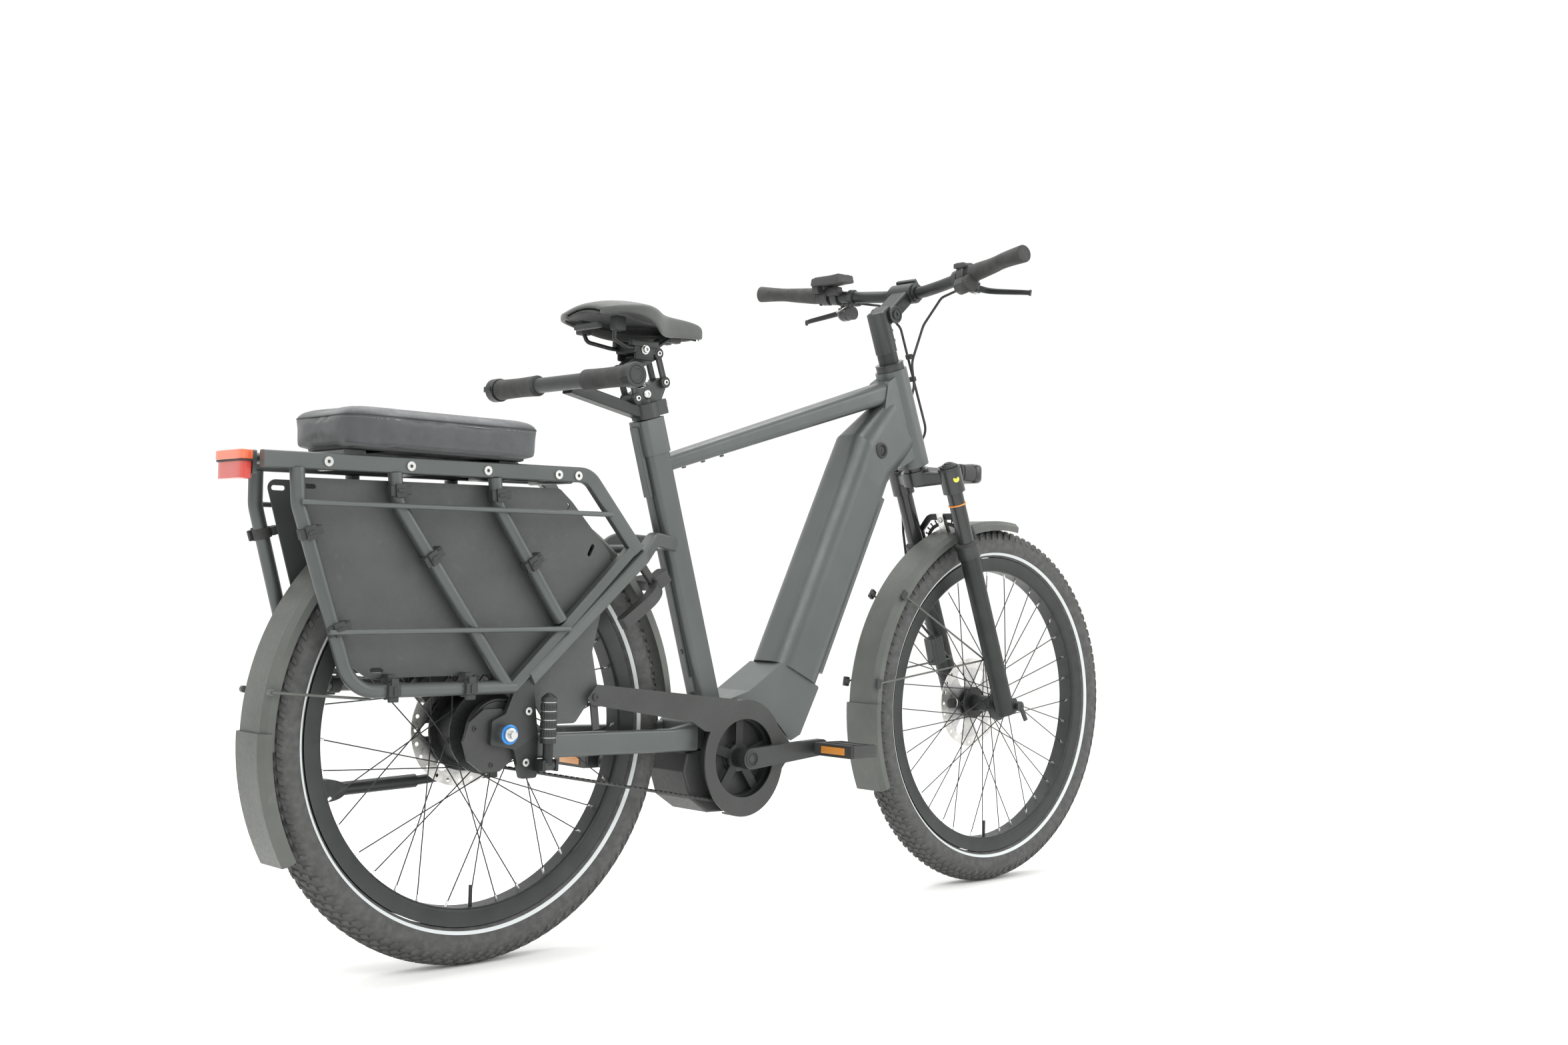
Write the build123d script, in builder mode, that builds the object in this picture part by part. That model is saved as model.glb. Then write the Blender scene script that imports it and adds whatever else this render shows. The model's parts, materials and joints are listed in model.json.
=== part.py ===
from build123d import *
import os
from math import cos, pi, radians, sin

# A compact electric longtail cargo bicycle.
# +X is forward, +Y is the rider's left, +Z is up. The origin is on the ground, under the middle of
# the bicycle's length and width. The drive side is the right side, -Y.

# ------------------------------------------------------------------ driving dimensions (mm)
wheelbase = 1236
tyre_radius = 357
tyre_width = 65
tyre_wall = 4
rear_overhang = 419            # tail light behind the rear axle
stay_length = 498              # bottom bracket ahead of the rear axle
bracket_height = 293           # bottom bracket above the ground
seat_angle = 73.2
head_angle = 68.7
fork_offset = 48               # front axle ahead of the steering axis
weld_gap = 0.05                # between two pieces of one body that are welded or bolted face to face
running_gap = 0.4              # between a moving piece and its neighbour

rear_x = (rear_overhang - wheelbase - tyre_radius) / 2
front_x = rear_x + wheelbase
axle_z = tyre_radius
bracket_x = rear_x + stay_length
bracket_z = bracket_height

# wheels
rim_bead_radius = 298
rim_inner_radius = 270
rim_width = 35
rim_wall = 2.2
rim_well_depth = 11
spoke_count = 36
spoke_radius = 1.0
nipple_radius = 2.2
nipple_length = 12
front_flange_radius = 29
front_flange_offset = 30
rear_flange_radius = 62
rear_flange_offset = 26
hub_axle_radius = 6
rear_drop_out_width = 142
rotor_radius = 90
rotor_thickness = 2
rotor_gap_from_flange = 12

# frame tubes
down_tube_width = 94
down_tube_depth = 112
down_tube_corner = 32
down_tube_angle = 64.2
down_tube_wall = 3
top_tube_width = 36
top_tube_seat_depth = 27
top_tube_head_depth = 42
tube_wall = 2.5
seat_tube_length = 50
seat_tube_width = 38
seat_tube_corner = 10
seat_tube_top = 598            # along the seat tube, from the bottom bracket
head_tube_radius = 31
head_tube_low = 507            # along the steering axis, from axle height
head_tube_high = 701
stay_depth = 24
stay_width = 20
chain_stay_depth = 38
chain_stay_width = 20

# rear rack
rack_half_width = 60           # to the middle of the top rail
rack_flare = 0.061             # outward growth for each mm below the rail
rack_rail_depth = 24
rack_rail_width = 14
rack_tube_radius = 10.5
rack_rod_radius = 4
rack_rail_z = 752
panel_thickness = 3

# seat and passenger bar
passenger_bar_half = 194
passenger_bar_radius = 12.5
passenger_grip_radius = 18
saddle_z = 1010

# handlebar
bar_half_width = 345
bar_radius = 11.5
grip_length = 150
grip_radius = 16

# drive
front_teeth = 45
rear_teeth = 28
belt_pitch = 11
belt_width = 12
belt_thickness = 3
belt_line = 56                 # belt middle to the right of the bicycle's middle
crank_length = 170
crank_slope = 4                # right crank above the horizontal, forward
guard_half_length = 91
guard_half_height = 100
guard_opening_radius = 67
spindle_radius = 12
crank_line = 88
pedal_width = 96
pedal_length = 62
pedal_thickness = 20
pedal_line = 152

# suspension fork
leg_half_spacing = 66
stanchion_radius = 16
lower_leg_radius = 19
leg_ahead = 26                 # legs ahead of the steering axis
lowers_high = 333
lowers_low = -26
fork_travel = 63
stanchion_overlap = 110        # stanchion inside the lower leg at rest


# ------------------------------------------------------------------ places
steer_cos = cos(radians(head_angle))
steer_sin = sin(radians(head_angle))
steer_x = front_x - fork_offset / steer_sin
seat_cos = cos(radians(seat_angle))
seat_sin = sin(radians(seat_angle))
down_cos = cos(radians(down_tube_angle))
down_sin = sin(radians(down_tube_angle))


def steer(along, ahead=0, side=0):
    """A point by its distance along the steering axis from axle height, ahead of it and to its left."""
    return Vector(
        steer_x - along * steer_cos + ahead * steer_sin,
        side,
        axle_z + along * steer_sin + ahead * steer_cos,
    )


steering_axis = (-steer_cos, 0, steer_sin)


def seat(along, ahead=0, side=0):
    """A point by its distance up the seat tube from the bottom bracket, ahead of it and to its left."""
    return Vector(
        bracket_x - along * seat_cos + ahead * seat_sin,
        side,
        bracket_z + along * seat_sin + ahead * seat_cos,
    )


down_foot_x = bracket_x + 148
down_foot_z = bracket_z + 107


def down(along, ahead=0, side=0):
    """A point by its distance up the down tube's middle line, in front of it and to its left."""
    return Vector(
        down_foot_x + along * down_cos + ahead * down_sin,
        side,
        down_foot_z + along * down_sin - ahead * down_cos,
    )


def rack(from_rear_axle, z, outward=0, side=-1):
    """A point of a rack side, which flares outward below its rail. side is -1 right, 1 left."""
    half = rack_half_width + (rack_rail_z - z) * rack_flare + outward
    return Vector(rear_x + from_rear_axle, side * half, z)


# ------------------------------------------------------------------ shapes used many times
def rod(start, end, radius, inner=0, mode=Mode.ADD):
    """A round bar between two points, or a tube when it has an inner radius."""
    start, end = Vector(start), Vector(end)
    with BuildSketch(Plane(origin=start, z_dir=end - start)) as section:
        Circle(radius)
        if inner:
            Circle(inner, mode=Mode.SUBTRACT)
    extrude(section.sketch, amount=(end - start).length, mode=mode)


def beam(start, end, width, depth, corner=2, wall=0, mode=Mode.ADD):
    """A rectangular bar between two points: width is across the bicycle, depth is in its plane.

    For a bar that itself runs across the bicycle, width is fore and aft.
    """
    start, end = Vector(start), Vector(end)
    run = end - start
    across = (1, 0, 0) if abs(run.Y) > 0.9 * run.length else (0, 1, 0)
    with BuildSketch(Plane(origin=start, x_dir=across, z_dir=run)) as section:
        RectangleRounded(width, depth, corner)
        if wall:
            RectangleRounded(width - 2 * wall, depth - 2 * wall, max(corner - wall, 0.5), mode=Mode.SUBTRACT)
    extrude(section.sketch, amount=(end - start).length, mode=mode)


def pipe(points, radii, radius, mode=Mode.ADD):
    """A round bar along straight runs joined by tangent arcs, one radius for each corner."""
    with BuildLine() as path:
        FilletPolyline(*points, radius=radii)
    with BuildSketch(Plane(origin=path.line @ 0, z_dir=path.line % 0)) as section:
        Circle(radius)
    sweep(section.sketch, path=path.line, mode=mode)


def flat_pipe(points, radii, width, depth, corner):
    """A rectangular bar along straight runs joined by tangent arcs."""
    with BuildLine() as path:
        FilletPolyline(*points, radius=radii)
    with BuildSketch(Plane(origin=path.line @ 0, x_dir=(0, 1, 0), z_dir=path.line % 0)) as section:
        RectangleRounded(width, depth, corner)
    sweep(section.sketch, path=path.line)


def disc(centre, radius, low_y, high_y, mode=Mode.ADD):
    """A disc on an axis across the bicycle."""
    with BuildSketch(Plane.XZ.offset(-low_y)) as section:
        with Locations((centre[0], centre[1])):
            Circle(radius)
    extrude(section.sketch, amount=low_y - high_y, mode=mode)


def side_plate(outline, low_y, high_y, corner=0, mode=Mode.ADD):
    """A flat plate in the bicycle's plane, from its outline as (x, z) points."""
    with BuildSketch(Plane.XZ.offset(-low_y)) as section:
        with BuildLine():
            Polyline(*outline, close=True)
        make_face()
        if corner:
            fillet(section.vertices(), corner)
    extrude(section.sketch, amount=low_y - high_y, mode=mode)


def save(part, label):
    """Give the finished piece its name and write it."""
    part.label = label
    export_step(part, "parts/" + label + ".step")


os.makedirs("parts", exist_ok=True)


# ------------------------------------------------------------------ wheels
def tyre_section(x):
    """The tyre's section, open towards the rim."""
    crown = tyre_radius - tyre_width / 2
    with BuildSketch(Plane.YZ.offset(x)) as section:
        with Locations((0, axle_z + crown)):
            Circle(tyre_width / 2)
            Circle(tyre_width / 2 - tyre_wall, mode=Mode.SUBTRACT)
        with Locations((0, axle_z + rim_bead_radius / 2 + weld_gap)):
            Rectangle(tyre_width, rim_bead_radius, mode=Mode.SUBTRACT)
    return section.sketch


def rim_section(x):
    """A hollow box rim with two hooks for the tyre."""
    height = rim_bead_radius - rim_inner_radius
    middle = axle_z + rim_inner_radius + height / 2
    inside = rim_width - 2 * rim_wall
    with BuildSketch(Plane.YZ.offset(x)) as section:
        with Locations((0, middle)):
            Rectangle(rim_width, height)
        fillet(section.vertices().sort_by(Axis.Z)[:2], 6)
        with Locations((0, middle + height / 2)):
            Rectangle(inside, 2 * rim_well_depth, mode=Mode.SUBTRACT)
        with Locations((0, middle - rim_well_depth / 2)):
            RectangleRounded(inside, height - rim_well_depth - 2 * rim_wall, 3, mode=Mode.SUBTRACT)
    return section.sketch


def wheel_axis(x):
    return Axis((x, 0, axle_z), (0, 1, 0))


def spoke_pair(x, index, flange_radius, flange_offset):
    """One spoke and its nipple, leaving the flange along a tangent as in a crossed wheel."""
    side = 1 if index % 2 else -1
    lean = 1 if (index // 2) % 2 else -1
    rim_angle = radians(index * 360 / spoke_count)
    hub_angle = rim_angle + lean * radians(62)
    hub_point = Vector(
        x + flange_radius * cos(hub_angle),
        side * flange_offset,
        axle_z + flange_radius * sin(hub_angle),
    )
    rim_reach = rim_inner_radius + rim_wall
    rim_point = Vector(x + rim_reach * cos(rim_angle), side * 3, axle_z + rim_reach * sin(rim_angle))
    inward = (hub_point - rim_point).normalized()
    rod(hub_point, rim_point, spoke_radius)
    rod(rim_point + inward * nipple_length, rim_point, nipple_radius)


with BuildPart() as rear_tyre:
    revolve(tyre_section(rear_x), axis=wheel_axis(rear_x))
save(rear_tyre.part, "rear_tyre")

with BuildPart() as front_tyre:
    revolve(tyre_section(front_x), axis=wheel_axis(front_x))
save(front_tyre.part, "front_tyre")

valve_radius = 3
valve_length = 34

with BuildPart() as rear_rim:
    revolve(rim_section(rear_x), axis=wheel_axis(rear_x))
    valve_base = Vector(rear_x, 0, axle_z - rim_inner_radius - rim_wall)
    rod(valve_base, valve_base + Vector(0, 0, valve_length), valve_radius)
save(rear_rim.part, "rear_rim")

with BuildPart() as front_rim:
    revolve(rim_section(front_x), axis=wheel_axis(front_x))
    valve_base = Vector(front_x, 0, axle_z - rim_inner_radius - rim_wall)
    rod(valve_base, valve_base + Vector(0, 0, valve_length), valve_radius)
save(front_rim.part, "front_rim")

with BuildPart() as rear_spokes:
    for spoke in range(spoke_count):
        spoke_pair(rear_x, spoke, rear_flange_radius, rear_flange_offset)
save(rear_spokes.part, "rear_spokes")

with BuildPart() as front_spokes:
    for spoke in range(spoke_count):
        spoke_pair(front_x, spoke, front_flange_radius, front_flange_offset)
save(front_spokes.part, "front_spokes")

flange_thickness = 4

with BuildPart() as rear_hub:
    hub_middle = (rear_x, axle_z)
    disc(hub_middle, rear_flange_radius - 8, -rear_flange_offset, rear_flange_offset)
    for side in (-1, 1):
        inner = side * rear_flange_offset
        disc(
            hub_middle,
            rear_flange_radius + 3,
            min(inner, inner + side * flange_thickness),
            max(inner, inner + side * flange_thickness),
        )
    disc(hub_middle, 30, rear_flange_offset, rear_flange_offset + rotor_gap_from_flange)
    disc(hub_middle, 24, -belt_line + belt_width / 2 + 1, -rear_flange_offset)
    disc(hub_middle, hub_axle_radius + running_gap, -90, 90, mode=Mode.SUBTRACT)
save(rear_hub.part, "rear_hub")

with BuildPart() as front_hub:
    hub_middle = (front_x, axle_z)
    disc(hub_middle, 16, -front_flange_offset - 6, front_flange_offset + rotor_gap_from_flange)
    for side in (-1, 1):
        inner = side * front_flange_offset
        disc(
            hub_middle,
            front_flange_radius + 3,
            min(inner, inner + side * flange_thickness),
            max(inner, inner + side * flange_thickness),
        )
    disc(hub_middle, hub_axle_radius + running_gap, -90, 90, mode=Mode.SUBTRACT)
save(front_hub.part, "front_hub")


def rotor_holes(x, low_y, high_y):
    """The vents and the open spider of a brake rotor."""
    for ring_index in range(24):
        angle = radians(ring_index * 15)
        place = (x + (rotor_radius - 8) * cos(angle), axle_z + (rotor_radius - 8) * sin(angle))
        disc(place, 3.2, low_y, high_y, mode=Mode.SUBTRACT)
    with BuildSketch(Plane.XZ.offset(-low_y)) as windows:
        with Locations((x, axle_z)):
            with PolarLocations((rotor_radius + 22) / 2, 6):
                SlotOverall(34, 20)
    extrude(windows.sketch, amount=low_y - high_y, mode=Mode.SUBTRACT)


rear_rotor_y = rear_flange_offset + rotor_gap_from_flange + weld_gap
front_rotor_y = front_flange_offset + rotor_gap_from_flange + weld_gap

with BuildPart() as rear_rotor:
    disc((rear_x, axle_z), rotor_radius, rear_rotor_y, rear_rotor_y + rotor_thickness)
    rotor_holes(rear_x, rear_rotor_y, rear_rotor_y + rotor_thickness)
    disc((rear_x, axle_z), 17, rear_rotor_y, rear_rotor_y + rotor_thickness, mode=Mode.SUBTRACT)
save(rear_rotor.part, "rear_rotor")

with BuildPart() as front_rotor:
    disc((front_x, axle_z), rotor_radius, front_rotor_y, front_rotor_y + rotor_thickness)
    rotor_holes(front_x, front_rotor_y, front_rotor_y + rotor_thickness)
    disc((front_x, axle_z), 10, front_rotor_y, front_rotor_y + rotor_thickness, mode=Mode.SUBTRACT)
save(front_rotor.part, "front_rotor")


# ------------------------------------------------------------------ frame tubes
def steer_disc(low, high, radius, inner=0, mode=Mode.ADD):
    """A ring on the steering axis between two distances along it."""
    rod(steer(low), steer(high), radius, inner, mode)


with BuildPart() as head_tube:
    steer_disc(head_tube_low, head_tube_high, head_tube_radius)
    with BuildSketch(Plane.XZ) as gusset:
        with BuildLine():
            Polyline(
                (steer(head_tube_low + 22).X, steer(head_tube_low + 22).Z),
                (steer(head_tube_high - 6).X, steer(head_tube_high - 6).Z),
                (steer(head_tube_high - 14, -40).X, steer(head_tube_high - 14, -40).Z),
                (steer(head_tube_high - 78, -78).X, steer(head_tube_high - 78, -78).Z),
                (steer(head_tube_low + 52, -96).X, steer(head_tube_low + 52, -96).Z),
                (steer(head_tube_low + 14, -60).X, steer(head_tube_low + 14, -60).Z),
                close=True,
            )
        make_face()
    extrude(gusset.sketch, amount=25, both=True)
    fillet(head_tube.edges().filter_by(Axis.Y), 5)
    steer_disc(head_tube_low - 1, head_tube_high + 1, 20, mode=Mode.SUBTRACT)
save(head_tube.part, "head_tube")

down_tube_length = 400
down_tube_start = 34
cover_gap = 0.5
cover_width = 66
cover_foot = 28                # up the down tube from its start
cover_head = 392

with BuildPart() as down_tube:
    main_plane = Plane(origin=down(down_tube_start), x_dir=(0, 1, 0), z_dir=(down_cos, 0, down_sin))
    with BuildSketch(main_plane) as main_section:
        RectangleRounded(down_tube_width, down_tube_depth, down_tube_corner)
    extrude(main_section.sketch, amount=down_tube_length)
    shoulder = Plane(
        origin=down(down_tube_start + down_tube_length),
        x_dir=(0, 1, 0),
        z_dir=(down_cos, 0, down_sin),
    )
    rear_edge = down(down_tube_start + down_tube_length + 68, -down_tube_depth / 2)
    front_edge = down(down_tube_start + down_tube_length + 20, down_tube_depth / 2)
    across = front_edge - rear_edge
    bend = Plane(origin=(rear_edge + front_edge) / 2, x_dir=(0, 1, 0), z_dir=(-across.Z, 0, across.X))
    neck = Plane(origin=steer(head_tube_low + 92, -28), x_dir=(0, 1, 0), z_dir=(0.78, 0, 0.62))
    with BuildSketch(shoulder) as lower_end:
        RectangleRounded(down_tube_width, down_tube_depth, down_tube_corner)
    with BuildSketch(bend) as bend_end:
        RectangleRounded(down_tube_width - 3, across.length, down_tube_corner)
    with BuildSketch(neck) as upper_end:
        RectangleRounded(56, 120, 24)
    loft([lower_end.sketch, bend_end.sketch])
    loft([bend_end.sketch, upper_end.sketch])
    tube_front = down(down_tube_start, down_tube_depth / 2 - 2)
    tube_back = down(down_tube_start, 6 - down_tube_depth / 2)
    side_plate(
        [
            (bracket_x - 92, bracket_z + 62),
            (bracket_x - 92, bracket_z + 22),
            (bracket_x - 66, bracket_z + 16),
            (bracket_x - 60, bracket_z + 66),
            (bracket_x + 96, bracket_z + 66),
            (bracket_x + 142, bracket_z + 20),
            (bracket_x + 166, bracket_z + 30),
            (tube_front.X, tube_front.Z),
            (tube_back.X, tube_back.Z),
            (bracket_x + 40, bracket_z + 112),
            (bracket_x - 10, bracket_z + 98),
            (bracket_x - 60, bracket_z + 92),
        ],
        5 - down_tube_width / 2,
        down_tube_width / 2 - 5,
        corner=4,
    )
    beam(
        seat(40),
        seat(300),
        seat_tube_width,
        seat_tube_length,
        seat_tube_corner,
        mode=Mode.SUBTRACT,
    )
    cavity_plane = Plane(
        origin=down(down_tube_start + 20),
        x_dir=(0, 1, 0),
        z_dir=(down_cos, 0, down_sin),
    )
    with BuildSketch(cavity_plane) as cavity:
        RectangleRounded(
            down_tube_width - 2 * down_tube_wall,
            down_tube_depth - 2 * down_tube_wall,
            down_tube_corner - down_tube_wall,
        )
    extrude(cavity.sketch, amount=down_tube_length - 25, mode=Mode.SUBTRACT)
    cover_start = down(down_tube_start + cover_foot, down_tube_depth / 2 - 8)
    cover_end = down(down_tube_start + cover_head, down_tube_depth / 2 - 8)
    beam(cover_start, cover_end, cover_width, 40, 3, mode=Mode.SUBTRACT)
    add(head_tube.part, mode=Mode.SUBTRACT)
    steer_disc(head_tube_low - 20, head_tube_high + 20, head_tube_radius, mode=Mode.SUBTRACT)
save(down_tube.part, "down_tube")

with BuildPart() as battery:
    plate_start = down(down_tube_start + cover_foot + cover_gap, down_tube_depth / 2)
    plate_end = down(down_tube_start + cover_head - cover_gap, down_tube_depth / 2)
    beam(plate_start, plate_end, cover_width - 2 * cover_gap, 10, 3)
    lip_start = down(down_tube_start + 40, down_tube_depth / 2 + 4.5)
    lip_end = down(down_tube_start + 380, down_tube_depth / 2 + 4.5)
    beam(lip_start, lip_end, 56, 8, 3)
    pack_start = down(down_tube_start + 60, 2)
    pack_end = down(down_tube_start + 350, 2)
    beam(pack_start, pack_end, 62, 98, 8)
save(battery.part, "battery")

top_tube_seat = seat(517, 0)
top_tube_head = steer(664, 0)

with BuildPart() as top_tube:
    run = top_tube_head - top_tube_seat
    seat_end_plane = Plane(origin=top_tube_seat, x_dir=(0, 1, 0), z_dir=run)
    head_end_plane = Plane(origin=top_tube_head, x_dir=(0, 1, 0), z_dir=run)
    with BuildSketch(seat_end_plane) as seat_end:
        RectangleRounded(top_tube_width, top_tube_seat_depth, 9)
    with BuildSketch(head_end_plane) as head_end:
        RectangleRounded(top_tube_width + 10, top_tube_head_depth, 12)
    loft([seat_end.sketch, head_end.sketch])
    with BuildSketch(seat_end_plane) as seat_bore:
        RectangleRounded(top_tube_width - 2 * tube_wall, top_tube_seat_depth - 2 * tube_wall, 6)
    with BuildSketch(head_end_plane) as head_bore:
        RectangleRounded(top_tube_width + 10 - 2 * tube_wall, top_tube_head_depth - 2 * tube_wall, 9)
    loft([seat_bore.sketch, head_bore.sketch], mode=Mode.SUBTRACT)
    beam(
        seat(0),
        seat(seat_tube_top),
        seat_tube_width,
        seat_tube_length,
        seat_tube_corner,
        mode=Mode.SUBTRACT,
    )
    steer_disc(head_tube_low, head_tube_high, head_tube_radius, mode=Mode.SUBTRACT)
    add(head_tube.part, mode=Mode.SUBTRACT)
    add(down_tube.part, mode=Mode.SUBTRACT)
    for step in range(3):
        boss = top_tube_seat + run.normalized() * (60 + 45 * step)
        lower_face = Vector(-run.Z, 0, run.X).normalized() * -1
        rod(boss + lower_face * 8, boss + lower_face * (18 + step), 4)
save(top_tube.part, "top_tube")

post_radius = 15.4
seat_tube_start = 92

with BuildPart() as seat_tube:
    beam(
        seat(seat_tube_start),
        seat(seat_tube_top),
        seat_tube_width,
        seat_tube_length,
        seat_tube_corner,
        tube_wall,
    )
    beam(seat(seat_tube_top - 60), seat(seat_tube_top), seat_tube_width + 5, seat_tube_length + 5, 12)
    beam(seat(150, -seat_tube_length / 2 - 1), seat(520, -seat_tube_length / 2 - 1), 14, 5, 1)
    beam(seat(470, -seat_tube_length / 2 - 4), seat(590, -seat_tube_length / 2 - 4), 18, 8, 2)
    rod(seat(430), seat(seat_tube_top + 1), post_radius + 0.1, mode=Mode.SUBTRACT)
    for height in (118, 196):
        rod(
            seat(height, -seat_tube_length / 2),
            seat(height, -seat_tube_length / 2 - 6),
            4,
        )
save(seat_tube.part, "seat_tube")

motor_half_width = 47

with BuildPart() as drive_unit:
    side_plate(
        [
            (bracket_x - 64, bracket_z + 14),
            (bracket_x - 104, bracket_z + 12),
            (bracket_x - 112, bracket_z - 20),
            (bracket_x - 96, bracket_z - 66),
            (bracket_x - 56, bracket_z - 92),
            (bracket_x + 20, bracket_z - 94),
            (bracket_x + 90, bracket_z - 60),
            (bracket_x + 136, bracket_z - 10),
            (bracket_x + 138, bracket_z + 18),
            (bracket_x + 94, bracket_z + 64),
            (bracket_x - 58, bracket_z + 64),
        ],
        -motor_half_width,
        motor_half_width,
        corner=5,
    )
    fillet(drive_unit.faces().sort_by(Axis.Y)[-1].edges(), 4)
    fillet(drive_unit.faces().sort_by(Axis.Y)[0].edges(), 4)
    disc((bracket_x, bracket_z), 26, -motor_half_width - 4, motor_half_width + 8)
    disc((bracket_x, bracket_z), spindle_radius + running_gap, -90, 90, mode=Mode.SUBTRACT)
save(drive_unit.part, "drive_unit")

drop_out_inner = rear_drop_out_width / 2
drop_out_thickness = 8
chain_stay_middle = drop_out_inner - 2

with BuildPart() as chain_stays:
    for side in (-1, 1):
        front = Vector(bracket_x - 92, side * 44, bracket_z + 38)
        bend = Vector(bracket_x - 150, side * 56, bracket_z + 36)
        rear_end = Vector(rear_x + 62, side * chain_stay_middle, bracket_z + 42)
        beam(bend, rear_end, chain_stay_width, chain_stay_depth, 5)
        with BuildSketch(Plane(origin=bend, x_dir=(0, 1, 0), z_dir=rear_end - bend)) as stay_end:
            RectangleRounded(chain_stay_width, chain_stay_depth, 5)
        with BuildSketch(Plane(origin=front, x_dir=(0, 1, 0), z_dir=(-1, side * 0.1, 0))) as yoke_end:
            RectangleRounded(chain_stay_width + 6, chain_stay_depth + 8, 5)
        loft([stay_end.sketch, yoke_end.sketch])
    add(down_tube.part, mode=Mode.SUBTRACT)
save(chain_stays.part, "chain_stays")

bridge_x = rear_x + 273
bridge_z = axle_z + 287

with BuildPart() as seat_stays:
    for side in (-1, 1):
        top = seat(382, -10, side * 12)
        bend = Vector(rear_x + 306, side * 50, 662)
        elbow = Vector(rear_x + 270, side * 66, 632)
        foot = Vector(rear_x + 44, side * 76, 440)
        flat_pipe([top, bend, elbow, foot], [26, 14], stay_width, stay_depth, 4)
    rod(Vector(bridge_x, -62, bridge_z), Vector(bridge_x, 62, bridge_z), 8)
    add(seat_tube.part, mode=Mode.SUBTRACT)
    beam(seat(40), seat(580), seat_tube_width, seat_tube_length, seat_tube_corner, mode=Mode.SUBTRACT)
save(seat_stays.part, "seat_stays")

peg_x = rear_x + 70
peg_pivot_z = axle_z - 50
peg_y = drop_out_inner + drop_out_thickness + 16
stand_pivot_x = rear_x + 82
stand_pivot_z = bracket_z - 10
stand_y = drop_out_inner + drop_out_thickness + 14
stand_pin_radius = 5
peg_pin_radius = 4
pin_gap = 0.1

with BuildPart() as drop_outs:
    for side in (-1, 1):
        inner_y = side * drop_out_inner
        outer_y = side * (drop_out_inner + drop_out_thickness)
        side_plate(
            [
                (rear_x - 22, axle_z + 20),
                (rear_x - 24, axle_z - 16),
                (rear_x + 18, axle_z - 24),
                (rear_x + 32, axle_z - 70),
                (rear_x + 62, axle_z - 70),
                (rear_x + 62, axle_z - 2),
                (rear_x + 50, axle_z + 88),
                (rear_x + 16, axle_z + 62),
                (rear_x + 2, axle_z + 30),
            ],
            min(inner_y, outer_y),
            max(inner_y, outer_y),
            corner=5,
        )
        pin = Vector(peg_x, side * peg_y, peg_pivot_z)
        for across in (-1, 1):
            beam(
                Vector(pin.X + across * 12, outer_y - side, pin.Z),
                Vector(pin.X + across * 12, outer_y + side * 25, pin.Z),
                5,
                18,
                2,
            )
        rod(pin + Vector(-14, 0, 0), pin + Vector(14, 0, 0), peg_pin_radius)
        beam(
            Vector(pin.X - 14.5, outer_y + side * 1.5, pin.Z),
            Vector(pin.X + 14.5, outer_y + side * 1.5, pin.Z),
            5,
            18,
            1,
        )
    stand_pin = Vector(stand_pivot_x, stand_y, stand_pivot_z)
    rod(stand_pin + Vector(0, -16, 0), stand_pin + Vector(0, 10, 0), stand_pin_radius)
    rod(stand_pin + Vector(0, 8.4, 0), stand_pin + Vector(0, 11, 0), 9)
    beam(stand_pin + Vector(0, -13, -12), stand_pin + Vector(0, -13, 46), 9, 30, 2)
    disc((rear_x, axle_z), hub_axle_radius, -100, 100, mode=Mode.SUBTRACT)
    add(chain_stays.part, mode=Mode.SUBTRACT)
    add(seat_stays.part, mode=Mode.SUBTRACT)
save(drop_outs.part, "drop_outs")


# ------------------------------------------------------------------ rack
rail_rear = -397
rail_bend = 160
strut_top = -345
rack_floor_z = 428
bend_radius = 52
rack_rail_rise = 7


def rack_side(side):
    """One welded side of the rack: rail and front strut, rear strut and bottom run, diagonals, rods."""
    rail_start = Vector(rear_x + rail_rear, side * rack_half_width, rack_rail_z - 2)
    rail_knee = Vector(rear_x + rail_bend, side * rack_half_width, rack_rail_z + rack_rail_rise)
    rail_foot = rack(258, 640, 0, side)
    flat_pipe([rail_start, rail_knee, rail_foot], [34], rack_rail_width, rack_rail_depth, 3)
    strut = [
        rack(strut_top, rack_rail_z - rack_rail_depth / 2, 0, side),
        rack(strut_top + 2, 690, 0, side),
        rack(-262, rack_floor_z, 0, side),
        rack(14, rack_floor_z, 0, side),
    ]
    pipe(strut, [60, bend_radius], rack_tube_radius)
    pipe(
        [
            rack(-190, rack_rail_z - rack_rail_depth / 2 + 2, 0, side),
            rack(-187, 700, 0, side),
            rack(0, rack_floor_z + 4, 0, side),
        ],
        [50],
        rack_tube_radius,
    )
    pipe(
        [
            rack(-17, rack_rail_z - rack_rail_depth / 2 + 4, 0, side),
            rack(-13, 704, 0, side),
            rack(104, 528, 0, side),
        ],
        [50],
        rack_tube_radius,
    )
    upper = rack_tube_radius + rack_rod_radius - 1.5
    rod(rack(strut_top, 692, upper, side), rack(198, 698, upper, side), rack_rod_radius)
    rod(rack(-302, 512, upper, side), rack(112, 516, upper, side), rack_rod_radius)
    brace_start = rack(10, rack_floor_z - 1, 0, side)
    brace_end = Vector(rear_x + 244, side * 66, 640)
    beam(brace_start, brace_end, 16, 18, 3)


with BuildPart() as rack_sides:
    rack_side(-1)
    rack_side(1)
    add(seat_stays.part, mode=Mode.SUBTRACT)
save(rack_sides.part, "rack_sides")

cross_reach = rack_half_width - rack_rail_width / 2 - weld_gap
seat_pad_length = 334
seat_pad_half_width = 92
seat_pad_height = 58
seat_pad_z = 775
seat_pad_front = 52            # ahead of the rear axle
seat_pad_corner = 36
seat_pad_crown = 14

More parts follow.
